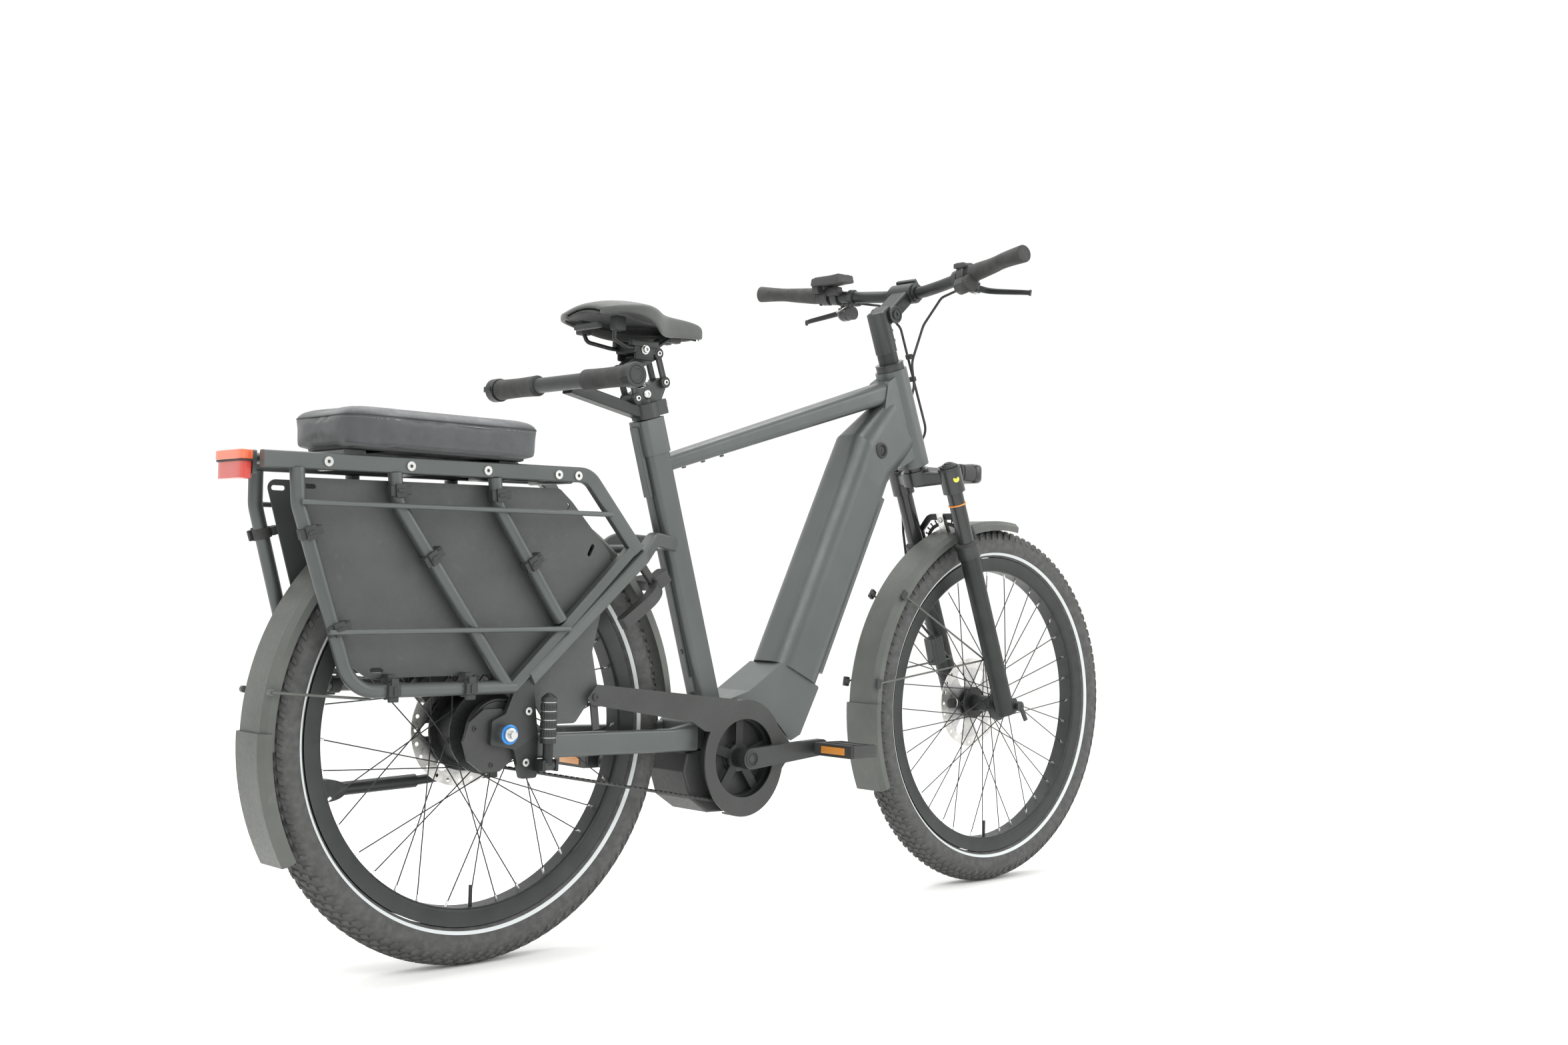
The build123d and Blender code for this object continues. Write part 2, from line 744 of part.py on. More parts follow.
with BuildPart() as rack_deck:
    for place in (-380, -250, -115, 15, 130):
        rod(
            Vector(rear_x + place, -cross_reach, rack_rail_z),
            Vector(rear_x + place, cross_reach, rack_rail_z),
            8,
        )
    for place in (-250, 15):
        beam(
            Vector(rear_x + place, -50, 766),
            Vector(rear_x + place, 50, 766),
            36,
            12,
            2,
        )
    for offset in (-24, 24):
        rod(
            Vector(rear_x - 395, offset, rack_rail_z),
            Vector(rear_x + 135, offset, rack_rail_z),
            4,
        )
    beam(Vector(rear_x - 398, 0, rack_rail_z - 6), Vector(rear_x - 392, 0, rack_rail_z - 6), 70, 34, 3)
save(rack_deck.part, "rack_deck")

with BuildPart() as passenger_cushion:
    with BuildSketch(Plane.XY.offset(seat_pad_z)) as pad:
        with Locations((rear_x + seat_pad_front - seat_pad_length / 2, 0)):
            RectangleRounded(seat_pad_length, 2 * seat_pad_half_width, seat_pad_corner)
    extrude(pad.sketch, amount=seat_pad_height)
    fillet(passenger_cushion.faces().sort_by(Axis.Z)[-1].edges(), seat_pad_crown)
save(passenger_cushion.part, "passenger_cushion")

tail_rear = rear_x - rear_overhang
tail_depth = 21
lamp_width = 84
lamp_low = 748
lamp_height = 15
reflector_width = 76
reflector_low = 722
reflector_height = 23

with BuildPart() as tail_lights:
    with BuildSketch(Plane.XY.offset(lamp_low)) as lamp:
        with Locations((tail_rear + tail_depth / 2, 0)):
            RectangleRounded(tail_depth - weld_gap, lamp_width, 6)
    extrude(lamp.sketch, amount=lamp_height)
    with BuildSketch(Plane.XY.offset(reflector_low)) as reflector:
        with Locations((tail_rear + tail_depth / 2 + 1, 0)):
            RectangleRounded(tail_depth - 2.2, reflector_width, 4)
    extrude(reflector.sketch, amount=reflector_height)
save(tail_lights.part, "tail_lights")

panel_inset = rack_tube_radius + 4.6


def panel_outline():
    """The panel's outline as distances ahead of the rear axle and heights."""
    return [
        (-338, 728),
        (116, 736),
        (140, 716),
        (216, 634),
        (212, 600),
        (176, 478),
        (186, 420),
        (140, 366),
        (86, 366),
        (48, 420),
        (-12, 446),
        (-226, 444),
        (-252, 462),
    ]


def side_panel(side):
    """A thin panel just inside a rack side, leaning with it, with slots for its straps."""
    inset = rack_half_width - panel_inset
    lean = Plane(
        origin=(rear_x, side * inset, rack_rail_z),
        x_dir=(1, 0, 0),
        z_dir=(0, -1, -side * rack_flare),
    )
    with BuildSketch(lean) as sheet:
        with BuildLine():
            Polyline(*[(x, z - rack_rail_z) for x, z in panel_outline()], close=True)
        make_face()
        fillet(sheet.vertices(), 12)
        for place in ((-318, 716), (128, 704), (-268, 520), (-212, 456), (60, 452), (176, 640)):
            with Locations((place[0], place[1] - rack_rail_z)):
                SlotOverall(22, 7, rotation=60 if place[0] > 0 else 0, mode=Mode.SUBTRACT)
    extrude(sheet.sketch, amount=side * panel_thickness)


with BuildPart() as side_panels:
    for side in (-1, 1):
        side_panel(side)
    add(seat_stays.part, mode=Mode.SUBTRACT)
save(side_panels.part, "side_panels")

strap_width = 15
strap_thickness = 2.5


def strap(place, z, run, side):
    """A rubber strap round a rack tube, from one point towards a direction in the rack's plane."""
    middle = rack(place, z, 0, side)
    along = Vector(run[0], 0, run[1]).normalized()
    rod(
        middle - along * strap_width / 2,
        middle + along * strap_width / 2,
        rack_tube_radius + strap_thickness,
        rack_tube_radius + weld_gap,
    )


with BuildPart() as panel_straps:
    for side in (-1, 1):
        strap(-330, 650, (83, -262), side)
        strap(-286, 516, (83, -262), side)
        strap(-200, rack_floor_z, (1, 0), side)
        strap(-70, rack_floor_z, (1, 0), side)
        strap(-188, 716, (3, -40), side)
        strap(-132, 620, (187, -268), side)
        strap(-14, 718, (4, -40), side)
        strap(46, 616, (117, -176), side)
save(panel_straps.part, "panel_straps")

bolt_radius = 7
bolt_head = 2.5
bolt_socket = 2.6
axle_nut_thickness = 13
axle_nut_radius = 11
axle_right_end = -106
axle_left_end = 98

with BuildPart() as frame_bolts:
    disc((rear_x, axle_z), hub_axle_radius, axle_right_end, axle_left_end)
    for side in (-1, 1):
        near = side * (drop_out_inner + drop_out_thickness + weld_gap)
        far = near + side * axle_nut_thickness
        with BuildSketch(Plane.XZ.offset(-min(near, far))) as nut:
            with Locations((rear_x, axle_z)):
                RegularPolygon(axle_nut_radius, 6)
        extrude(nut.sketch, amount=-axle_nut_thickness)
    for side in (-1, 1):
        face_y = side * (rack_half_width + rack_rail_width / 2 + weld_gap)
        for place in (-301, -168, -35, 97, 135):
            rise = rack_rail_z - 2 + rack_rail_rise * (place - rail_rear) / (rail_bend - rail_rear)
            end_y = face_y + side * bolt_head
            head_foot = Vector(rear_x + place, face_y, rise)
            head_top = Vector(rear_x + place, end_y, rise)
            rod(head_foot, head_top, bolt_radius, bolt_socket)
        for place, height in ((41, axle_z + 33), (38, axle_z - 45)):
            plate_y = side * (drop_out_inner + drop_out_thickness + weld_gap)
            cap_y = plate_y + side * 5
            rod(
                Vector(rear_x + place, plate_y, height),
                Vector(rear_x + place, cap_y, height),
                bolt_radius - 1,
                2.5,
            )
save(frame_bolts.part, "frame_bolts")


# ------------------------------------------------------------------ mudguards
def mudguard(x, inner_radius, half_width, start_angle, sweep_angle):
    """A shell of channel section, swept round the wheel from a start angle above the horizontal."""
    outer = inner_radius + 3
    start = Plane.YZ.offset(x)
    with BuildSketch(start) as section:
        with BuildLine():
            Polyline(
                (-half_width, axle_z + inner_radius - 16),
                (-half_width, axle_z + outer - 8),
                (-half_width + 9, axle_z + outer),
                (half_width - 9, axle_z + outer),
                (half_width, axle_z + outer - 8),
                (half_width, axle_z + inner_radius - 16),
                (half_width - 2, axle_z + inner_radius - 16),
                (half_width - 2, axle_z + outer - 9),
                (half_width - 10, axle_z + outer - 3),
                (-half_width + 10, axle_z + outer - 3),
                (-half_width + 2, axle_z + outer - 9),
                (-half_width + 2, axle_z + inner_radius - 16),
                close=True,
            )
        make_face()
    turned = section.sketch.rotate(wheel_axis(x), start_angle)
    revolve(turned, axis=wheel_axis(x), revolution_arc=sweep_angle)


guard_half_width = 38
guard_clearance = 13
guard_radius = tyre_radius + guard_clearance

with BuildPart() as rear_mudguard:
    mudguard(rear_x, guard_radius, guard_half_width, 86, -178)
    mudguard(rear_x, guard_radius + 4, guard_half_width + 3, -88, -30)
    for side in (-1, 1):
        clip = Vector(
            rear_x - guard_radius * cos(radians(11)),
            side * (guard_half_width + 6),
            axle_z + guard_radius * sin(radians(11)),
        )
        rod(clip, rack(-226, rack_floor_z - 12, -8, side), 2)
        rod(clip, clip + Vector(0, -side * 6, 0), 5)
save(rear_mudguard.part, "rear_mudguard")


# ------------------------------------------------------------------ drive
front_pitch_radius = front_teeth * belt_pitch / (2 * pi)
rear_pitch_radius = rear_teeth * belt_pitch / (2 * pi)
belt_low_y = -belt_line - belt_width / 2
belt_high_y = -belt_line + belt_width / 2

with BuildPart() as front_sprocket:
    disc((bracket_x, bracket_z), front_pitch_radius - 1, belt_low_y - 1, belt_high_y + 1)
    disc((bracket_x, bracket_z), front_pitch_radius - 14, belt_low_y - 1, belt_high_y + 1, mode=Mode.SUBTRACT)
    with BuildSketch(Plane.XZ.offset(-belt_low_y)) as spider:
        with Locations((bracket_x, bracket_z)):
            Circle(24)
            with PolarLocations(38, 5, start_angle=90):
                Rectangle(60, 16)
    extrude(spider.sketch, amount=-5)
    disc((bracket_x, bracket_z), spindle_radius, -90, 0, mode=Mode.SUBTRACT)
save(front_sprocket.part, "front_sprocket")

with BuildPart() as rear_sprocket:
    disc((rear_x, axle_z), rear_pitch_radius - 1, belt_low_y, belt_high_y)
    disc((rear_x, axle_z), 20, belt_low_y, belt_high_y, mode=Mode.SUBTRACT)
save(rear_sprocket.part, "rear_sprocket")

with BuildPart() as toothed_belt:
    with BuildSketch(Plane.XZ.offset(-belt_high_y)) as outer_loop:
        with Locations((bracket_x, bracket_z)):
            Circle(front_pitch_radius + belt_thickness)
        with Locations((rear_x, axle_z)):
            Circle(rear_pitch_radius + belt_thickness)
        make_hull()
    extrude(outer_loop.sketch, amount=belt_width)
    with BuildSketch(Plane.XZ.offset(-belt_high_y)) as inner_loop:
        with Locations((bracket_x, bracket_z)):
            Circle(front_pitch_radius)
        with Locations((rear_x, axle_z)):
            Circle(rear_pitch_radius)
        make_hull()
    extrude(inner_loop.sketch, amount=belt_width, mode=Mode.SUBTRACT)
save(toothed_belt.part, "toothed_belt")

hub_cover_radius = 50
guard_face = belt_line + belt_width / 2 + 12
guard_skirt = 20

with BuildPart() as belt_guard:
    arm = [
        (bracket_x - 340, bracket_z + 112),
        (bracket_x - 322, bracket_z + 134),
        (bracket_x - 20, bracket_z + 101),
        (bracket_x - 20, bracket_z + 40),
        (bracket_x - 92, bracket_z + 50),
        (bracket_x - 120, bracket_z + 66),
        (bracket_x - 330, bracket_z + 102),
    ]
    with BuildSketch(Plane.XZ.offset(guard_face)) as plate:
        with Locations((bracket_x, bracket_z)):
            Ellipse(guard_half_length, guard_half_height)
        with BuildLine():
            Polyline(*arm, close=True)
        make_face()
    extrude(plate.sketch, amount=3)
    with BuildSketch(Plane.XZ.offset(guard_face - guard_skirt)) as wall:
        with Locations((bracket_x, bracket_z)):
            Ellipse(guard_half_length, guard_half_height)
            Ellipse(guard_half_length - 2.5, guard_half_height - 2.5, mode=Mode.SUBTRACT)
            with Locations((-90, 10)):
                Rectangle(120, 230, mode=Mode.SUBTRACT)
    extrude(wall.sketch, amount=guard_skirt)
    disc((bracket_x, bracket_z), guard_opening_radius, -guard_face - 5, -guard_face + 2, mode=Mode.SUBTRACT)
    bracket_foot = Vector(bracket_x - 316, -guard_face + 6, bracket_z + 62 + weld_gap)
    bracket_head = Vector(bracket_x - 325, -guard_face + 3, bracket_z + 112)
    beam(bracket_foot, bracket_head, 4, 14, 1)
    rod(
        Vector(bracket_x - 325, -guard_face - 3, bracket_z + 114),
        Vector(bracket_x - 325, -guard_face - 5, bracket_z + 114),
        6,
    )
    cover_low = -drop_out_inner + 1
    with BuildSketch(Plane.XZ.offset(-cover_low)) as cover_outline:
        with Locations((rear_x - 16, axle_z - 10)):
            RegularPolygon(hub_cover_radius, 10)
    extrude(cover_outline.sketch, amount=cover_low + belt_line + belt_width / 2 + 1.5)
    disc((rear_x, axle_z), hub_axle_radius + weld_gap, -90, 0, mode=Mode.SUBTRACT)
save(belt_guard.part, "belt_guard")


def crank_tip(side):
    """The end of a crank: the right one points forward, the left one back."""
    reach = -side * crank_length
    return Vector(
        bracket_x + reach * cos(radians(crank_slope)),
        side * crank_line,
        bracket_z + reach * sin(radians(crank_slope)),
    )


crank_thickness = 15

with BuildPart() as cranks:
    disc((bracket_x, bracket_z), spindle_radius, -crank_line - 7, crank_line + 7)
    for side in (-1, 1):
        hub = Vector(bracket_x, side * crank_line, bracket_z)
        tip = crank_tip(side)
        low_y = side * crank_line - crank_thickness / 2
        with BuildSketch(Plane.XZ.offset(-low_y)) as arm_outline:
            with Locations((hub.X, hub.Z)):
                Circle(18)
            with Locations((tip.X, tip.Z)):
                Circle(14)
            make_hull()
        extrude(arm_outline.sketch, amount=-crank_thickness)
        disc((tip.X, tip.Z), 7, low_y, low_y + crank_thickness, mode=Mode.SUBTRACT)
        boss_low = -crank_line if side < 0 else motor_half_width + 12
        boss_high = belt_low_y - 2 if side < 0 else crank_line
        disc((bracket_x, bracket_z), 17, boss_low, boss_high)
save(cranks.part, "cranks")


def pedal(side):
    """A flat pedal: cage, body round its axle, reflector blocks front and back."""
    tip = crank_tip(side)
    middle = Vector(tip.X, side * pedal_line, tip.Z)
    cage_z = middle.Z - pedal_thickness / 2
    with BuildSketch(Plane.XY.offset(cage_z)) as cage:
        with Locations((middle.X, middle.Y)):
            RectangleRounded(pedal_length, pedal_width, 6)
            for across in (-1, 1):
                with Locations((across * 16, 0)):
                    Rectangle(11, pedal_width - 26, mode=Mode.SUBTRACT)
    extrude(cage.sketch, amount=pedal_thickness)
    inner = Vector(tip.X, side * (crank_line - crank_thickness / 2 + 1), tip.Z)
    rod(inner, middle, 6.5)


with BuildPart() as pedal_right:
    pedal(-1)
save(pedal_right.part, "pedal_right")

with BuildPart() as pedal_left:
    pedal(1)
save(pedal_left.part, "pedal_left")


# ------------------------------------------------------------------ rear brake, lock, stand, foot pegs
pad_gap = 0.6

with BuildPart() as rear_caliper:
    pipe(
        [
            Vector(rear_x - 62, 48, axle_z + 94),
            Vector(rear_x - 30, 50, axle_z + 112),
            Vector(rear_x + 40, 53, axle_z + 66),
            Vector(rear_x + 112, 58, axle_z),
        ],
        [16, 40],
        2.5,
    )
    caliper_x = rear_x - rotor_radius * 0.72
    caliper_z = axle_z + rotor_radius * 0.78
    beam(
        Vector(caliper_x - 18, rear_rotor_y + 1, caliper_z - 16),
        Vector(caliper_x + 22, rear_rotor_y + 1, caliper_z + 22),
        24,
        34,
        5,
    )
    rod(
        Vector(caliper_x + 14, rear_rotor_y + 10, caliper_z + 20),
        Vector(rear_x - 12, drop_out_inner - weld_gap - 1, axle_z + 26),
        5,
    )
    disc(
        (rear_x, axle_z),
        rotor_radius + 3,
        rear_rotor_y - pad_gap,
        rear_rotor_y + rotor_thickness + pad_gap,
        mode=Mode.SUBTRACT,
    )
save(rear_caliper.part, "rear_caliper")

lock_angle = 35
lock_radius = tyre_radius - 12
lock_inner = 52
lock_outer = 70

with BuildPart() as ring_lock:
    out = Vector(cos(radians(lock_angle)), 0, sin(radians(lock_angle)))
    lock_middle = Vector(rear_x, 0, axle_z) + out * lock_radius
    lock_plane = Plane(origin=lock_middle, x_dir=out, z_dir=(-out.Z, 0, out.X))
    with BuildSketch(lock_plane.offset(-10)) as horseshoe:
        Circle(lock_outer)
        Circle(lock_inner, mode=Mode.SUBTRACT)
        with Locations((-lock_outer / 2 - 6, 0)):
            Rectangle(lock_outer, 2 * lock_outer, mode=Mode.SUBTRACT)
        for across in (-1, 1):
            with Locations((-28, across * (lock_inner + lock_outer) / 2)):
                RectangleRounded(60, lock_outer - lock_inner, 6)
    extrude(horseshoe.sketch, amount=20)
    with BuildSketch(lock_plane.offset(-8)) as key_box:
        with Locations((lock_outer - 4, -30)):
            RectangleRounded(34, 26, 5)
    extrude(key_box.sketch, amount=22)
    for side in (-1, 1):
        arm_foot = lock_middle + out * 51 + Vector(0, side * 34, 0)
        beam(arm_foot, Vector(bridge_x, side * 34, bridge_z), 8, 14, 2)
    rod(
        Vector(bridge_x, -60, bridge_z),
        Vector(bridge_x, 60, bridge_z),
        8,
        mode=Mode.SUBTRACT,
    )
save(ring_lock.part, "ring_lock")


def foot_peg(side):
    """A passenger foot peg folded up: it swings out about a pin along X at its lower end."""
    foot = Vector(peg_x, side * peg_y, peg_pivot_z)
    rod(foot, foot + Vector(0, 0, 36), 8)
    rod(foot + Vector(0, 0, 34), foot + Vector(0, 0, 104), 12)
    with BuildSketch(Plane.XY.offset(peg_pivot_z + 104)) as cap_base:
        with Locations((foot.X, foot.Y)):
            Circle(12)
    with BuildSketch(Plane.XY.offset(peg_pivot_z + 111)) as cap_tip:
        with Locations((foot.X, foot.Y)):
            Circle(3)
    loft([cap_base.sketch, cap_tip.sketch])
    rod(foot + Vector(-9, 0, 0), foot + Vector(9, 0, 0), 8)
    rod(
        foot + Vector(-30, 0, 0),
        foot + Vector(30, 0, 0),
        peg_pin_radius + pin_gap,
        mode=Mode.SUBTRACT,
    )


with BuildPart() as foot_peg_right:
    foot_peg(-1)
save(foot_peg_right.part, "foot_peg_right")

with BuildPart() as foot_peg_left:
    foot_peg(1)
save(foot_peg_left.part, "foot_peg_left")

stand_length = 300

with BuildPart() as kickstand:
    pivot = Vector(stand_pivot_x, stand_y, stand_pivot_z)
    heel = pivot + Vector(-stand_length * 0.55, 6, -14)
    toe = pivot + Vector(-stand_length + 30, 9, -16)
    rod(pivot + Vector(0, -8, 0), pivot + Vector(0, 8, 0), 13)
    rod(pivot, heel, 7.5)
    rod(pivot + Vector(-stand_length * 0.42, 4.5, -10.5), toe, 10.5)
    with BuildSketch(Plane.XZ.offset(-(stand_y + 9) - 11)) as foot:
        with Locations((toe.X - 12, toe.Z)):
            Ellipse(34, 17)
    extrude(foot.sketch, amount=22)
    rod(
        pivot + Vector(0, -20, 0),
        pivot + Vector(0, 20, 0),
        stand_pin_radius + pin_gap,
        mode=Mode.SUBTRACT,
    )
save(kickstand.part, "kickstand")

# ------------------------------------------------------------------ seatpost, saddle, passenger bar
link_length = 50
link_thickness = 5
link_width = 12
link_eye_radius = 8.5
front_low = (652, 43)
rear_low = (638, -23)
pivot_pin = 4


def link_top(low):
    return (low[0] + link_length, low[1] - 2)


def seat_hull(places, half_width):
    """A plate whose outline is the hull round (along, ahead, radius) places on the seat tube's line."""
    with BuildSketch(Plane.XZ.offset(-half_width)) as outline:
        for along, ahead, radius in places:
            middle = seat(along, ahead)
            with Locations((middle.X, middle.Z)):
                Circle(radius)
        make_hull()
    extrude(outline.sketch, amount=2 * half_width)


post_head_half = 11
spring_low = (646, 4)
spring_high = (690, 4)
spring_radius = 9.5
spring_gap = 1

with BuildPart() as seatpost:
    rod(seat(440), seat(632), post_radius)
    seat_hull(
        [
            (rear_low[0], rear_low[1], 9),
            (636, 22, 15),
            (front_low[0], front_low[1], 9),
            (630, 0, 12),
        ],
        post_head_half,
    )
    for low in (front_low, rear_low):
        rod(
            seat(low[0], low[1], -30),
            seat(low[0], low[1], 30),
            pivot_pin + pin_gap,
            mode=Mode.SUBTRACT,
        )
    rod(seat(*spring_low), seat(*spring_high), spring_radius + spring_gap, mode=Mode.SUBTRACT)
save(seatpost.part, "seatpost")


def link(low, width):
    """A pair of link plates with their two pins, between the post and the saddle head."""
    high = link_top(low)
    for side in (-1, 1):
        inner = side * (width + running_gap)
        start = seat(low[0], low[1], inner + side * link_thickness / 2)
        end = seat(high[0], high[1], inner + side * link_thickness / 2)
        half = Vector(0, link_thickness / 2, 0)
        beam(start, end, link_thickness, link_width, 2)
        for eye in (start, end):
            rod(eye - half, eye + half, link_eye_radius)
    rod(seat(low[0], low[1], -width - 4), seat(low[0], low[1], width + 4), pivot_pin)
    rod(seat(high[0], high[1], -width - 4), seat(high[0], high[1], width + 4), pivot_pin)


with BuildPart() as front_link:
    link(front_low, post_head_half)
save(front_link.part, "front_link")

with BuildPart() as rear_link:
    link(rear_low, post_head_half)
save(rear_link.part, "rear_link")

rail_z = saddle_z - 30
rail_half = 21
rail_radius = 3.5
head_pivot_gap = 0.8
saddle_length = 252
saddle_nose_x = bracket_x - 62
saddle_rear_x = saddle_nose_x - saddle_length

with BuildPart() as seat_head:
    front_high = link_top(front_low)
    rear_high = link_top(rear_low)
    seat_hull(
        [(*front_high, 9), (*rear_high, 9), (706, 10, 9)],
        post_head_half,
    )
    rod(seat(*spring_low), seat(*spring_high), spring_radius + spring_gap, mode=Mode.SUBTRACT)
    clamp_x = seat(703, 10).X - 6
    beam(seat(696, 8), Vector(clamp_x, 0, rail_z - 6), 22, 34, 4)
    beam(Vector(clamp_x - 22, 0, rail_z), Vector(clamp_x + 22, 0, rail_z), 50, 16, 4)
    for across in (-1, 1):
        pipe(
            [
                Vector(saddle_rear_x + 34, across * 46, rail_z + 34),
                Vector(saddle_rear_x + 40, across * 36, rail_z + 8),
                Vector(saddle_rear_x + 78, across * rail_half, rail_z),
                Vector(saddle_nose_x - 118, across * rail_half, rail_z),
                Vector(saddle_nose_x - 62, across * 12, rail_z + 34),
            ],
            [10, 30, 40],
            rail_radius,
        )
    rod(
        seat(front_high[0], front_high[1], -30),
        seat(front_high[0], front_high[1], 30),
        pivot_pin + pin_gap,
        mode=Mode.SUBTRACT,
    )
    rod(
        seat(rear_high[0], rear_high[1], -30),
        seat(rear_high[0], rear_high[1], 30),
        pivot_pin + head_pivot_gap,
        mode=Mode.SUBTRACT,
    )
save(seat_head.part, "seat_head")

with BuildPart() as saddle:
    stations = [
        (0, 52, 46),
        (36, 100, 44),
        (80, 106, 42),
        (130, 74, 36),
        (176, 44, 34),
        (228, 32, 31),
        (saddle_length, 15, 20),
    ]
    saddle_top = saddle_z + 36
    sections = []
    for along, half, deep in stations:
        with BuildSketch(
            Plane(
                origin=(saddle_rear_x + along, 0, saddle_top - deep / 2 - 0.045 * along),
                x_dir=(0, 1, 0),
                z_dir=(1, 0, 0),
            )
        ) as section:
            RectangleRounded(2 * half, deep, min(half, deep / 2) * 0.8)
        sections.append(section.sketch)
    loft(sections)
    add(seat_head.part, mode=Mode.SUBTRACT)
save(saddle.part, "saddle")

with BuildPart() as seat_spring:
    rod(
        seat(spring_low[0] + weld_gap, spring_low[1]),
        seat(spring_high[0] - weld_gap, spring_high[1]),
        spring_radius,
        spring_radius - 3,
    )
save(seat_spring.part, "seat_spring")

clamp_low = seat_tube_top + 2
clamp_high = seat_tube_top + 27
pass_bar_x = seat(600).X - 176
pass_bar_z = 910

with BuildPart() as passenger_bar:
    rod(seat(clamp_low), seat(clamp_high), 24)
    beam(seat(clamp_low, 30), seat(clamp_high, 30), 26, 24, 3)
    beam(seat(612, -14), Vector(pass_bar_x + 12, 0, pass_bar_z - 6), 26, 20, 3)
    add(seatpost.part, mode=Mode.SUBTRACT)
    rod(seat(clamp_low - 1), seat(clamp_high + 1), post_radius + weld_gap, mode=Mode.SUBTRACT)
    beam(seat(clamp_low - 1, 32), seat(clamp_high + 1, 32), 2.5, 34, 0.5, mode=Mode.SUBTRACT)
    rod(
        Vector(pass_bar_x, -passenger_bar_half + 4, pass_bar_z),
        Vector(pass_bar_x, passenger_bar_half - 4, pass_bar_z),
        passenger_bar_radius,
    )
save(passenger_bar.part, "passenger_bar")

with BuildPart() as passenger_grips:
    for side in (-1, 1):
        rod(
            Vector(pass_bar_x, side * 64, pass_bar_z),
            Vector(pass_bar_x, side * passenger_bar_half, pass_bar_z),
            passenger_grip_radius,
        )
        rod(
            Vector(pass_bar_x, side * 60, pass_bar_z),
            Vector(pass_bar_x, side * (passenger_bar_half - 4), pass_bar_z),
            passenger_bar_radius + weld_gap,
            mode=Mode.SUBTRACT,
        )
save(passenger_grips.part, "passenger_grips")

# ------------------------------------------------------------------ fork, steering column, handlebar
crown_low = 455
crown_high = head_tube_low - 9
steerer_radius = 14
bar_clamp_radius = 15.9
stem_low = 738
stem_high = 815

with BuildPart() as fork_crown:
    steer_disc(crown_low + 16, crown_high, 27)
    steer_disc(crown_high - 1, stem_high - 8, steerer_radius)
    steer_disc(crown_high, head_tube_low - 1, 22)
    for side in (-1, 1):
        rod(
            steer(crown_low - 12, leg_ahead, side * leg_half_spacing),
            steer(crown_high - 6, leg_ahead, side * leg_half_spacing),
            22,
        )
        with BuildSketch(
            Plane(origin=steer(crown_low + 28, 2, side * 6), x_dir=steering_axis, z_dir=(0, side, 0))
        ) as crown_root:
            RectangleRounded(34, 44, 8)
        with BuildSketch(
            Plane(
                origin=steer(crown_low + 20, leg_ahead, side * (leg_half_spacing - 2)),
                x_dir=steering_axis,
                z_dir=(0, side, 0),
            )
        ) as crown_end:
            RectangleRounded(24, 30, 6)
        loft([crown_root.sketch, crown_end.sketch])
        rod(
            steer(lowers_high - stanchion_overlap, leg_ahead, side * leg_half_spacing),
            steer(crown_low, leg_ahead, side * leg_half_spacing),
            stanchion_radius,
        )
save(fork_crown.part, "fork_crown")

stem_pivot = (804, 22)
bar_centre = (830, 90)

with BuildPart() as stem:
    steer_disc(stem_low, stem_high, 21)
    pivot_point = steer(*stem_pivot)
    bar_point = steer(*bar_centre)
    beam(steer(stem_high - 16, -4), steer(stem_pivot[0] + 4, stem_pivot[1]), 40, 34, 6)
    rod(pivot_point - Vector(0, 25, 0), pivot_point + Vector(0, 25, 0), 15)
    beam(pivot_point, bar_point, 44, 28, 6)
    rod(bar_point - Vector(0, 27, 0), bar_point + Vector(0, 27, 0), 20)
    clamp_reach = Vector(0, 40, 0)
    rod(bar_point - clamp_reach, bar_point + clamp_reach, bar_clamp_radius + weld_gap, mode=Mode.SUBTRACT)
    steer_disc(stem_low - 2, stem_high - 8 + weld_gap, steerer_radius + weld_gap, mode=Mode.SUBTRACT)
    for height in (754, 774):
        rod(steer(height, 18), steer(height, 26), 4)
    steer_disc(head_tube_high + weld_gap, head_tube_high + 12, 27, steerer_radius + weld_gap)
    steer_disc(head_tube_high + 12, stem_low + 1, 19.5, steerer_radius + weld_gap)
save(stem.part, "stem")


def bar_point_at(side):
    """The handlebar's line on one side, from its clamp to its end."""
    centre = steer(*bar_centre)
    return [
        centre,
        centre + Vector(0, side * 50, 0),
        centre + Vector(-14, side * 104, 3),
        centre + Vector(-35, side * 190, 12),
        centre + Vector(-67, side * bar_half_width, 28),
    ]


with BuildPart() as handlebar:
    clamp_centre = steer(*bar_centre)
    rod(clamp_centre - Vector(0, 34, 0), clamp_centre + Vector(0, 34, 0), bar_clamp_radius)
    for side in (-1, 1):
        points = bar_point_at(side)
        start = points[0] + Vector(0, side * 20, 0)
        pipe([start] + points[1:3] + [points[4] + Vector(4, -side * 12, -1)], [60, 90], bar_radius)
save(handlebar.part, "handlebar")


def bar_run(side):
    """The straight outer run of the handlebar: its inner point and its end."""
    points = bar_point_at(side)
    end = points[4] + Vector(4, -side * 12, -1)
    inner = points[2]
    return inner, end


def on_bar(side, from_end):
    """A point on the straight outer run, by its distance from the bar's end."""
    inner, end = bar_run(side)
    back = (inner - end).normalized()
    return end + back * from_end


with BuildPart() as bar_grips:
    for side in (-1, 1):
        outer_tip = on_bar(side, -12)
        inner_tip = on_bar(side, grip_length - 12)
        rod(outer_tip, inner_tip, grip_radius)
        rod(on_bar(side, -10) + Vector(-6, 0, 0), on_bar(side, 60) + Vector(-10, 0, 0), grip_radius - 3)
        rod(on_bar(side, 0), on_bar(side, grip_length + 10), bar_radius + weld_gap, mode=Mode.SUBTRACT)
save(bar_grips.part, "bar_grips")

lever_clamp_place = 176
lever_pivot_forward = 34
lever_pivot_drop = -14


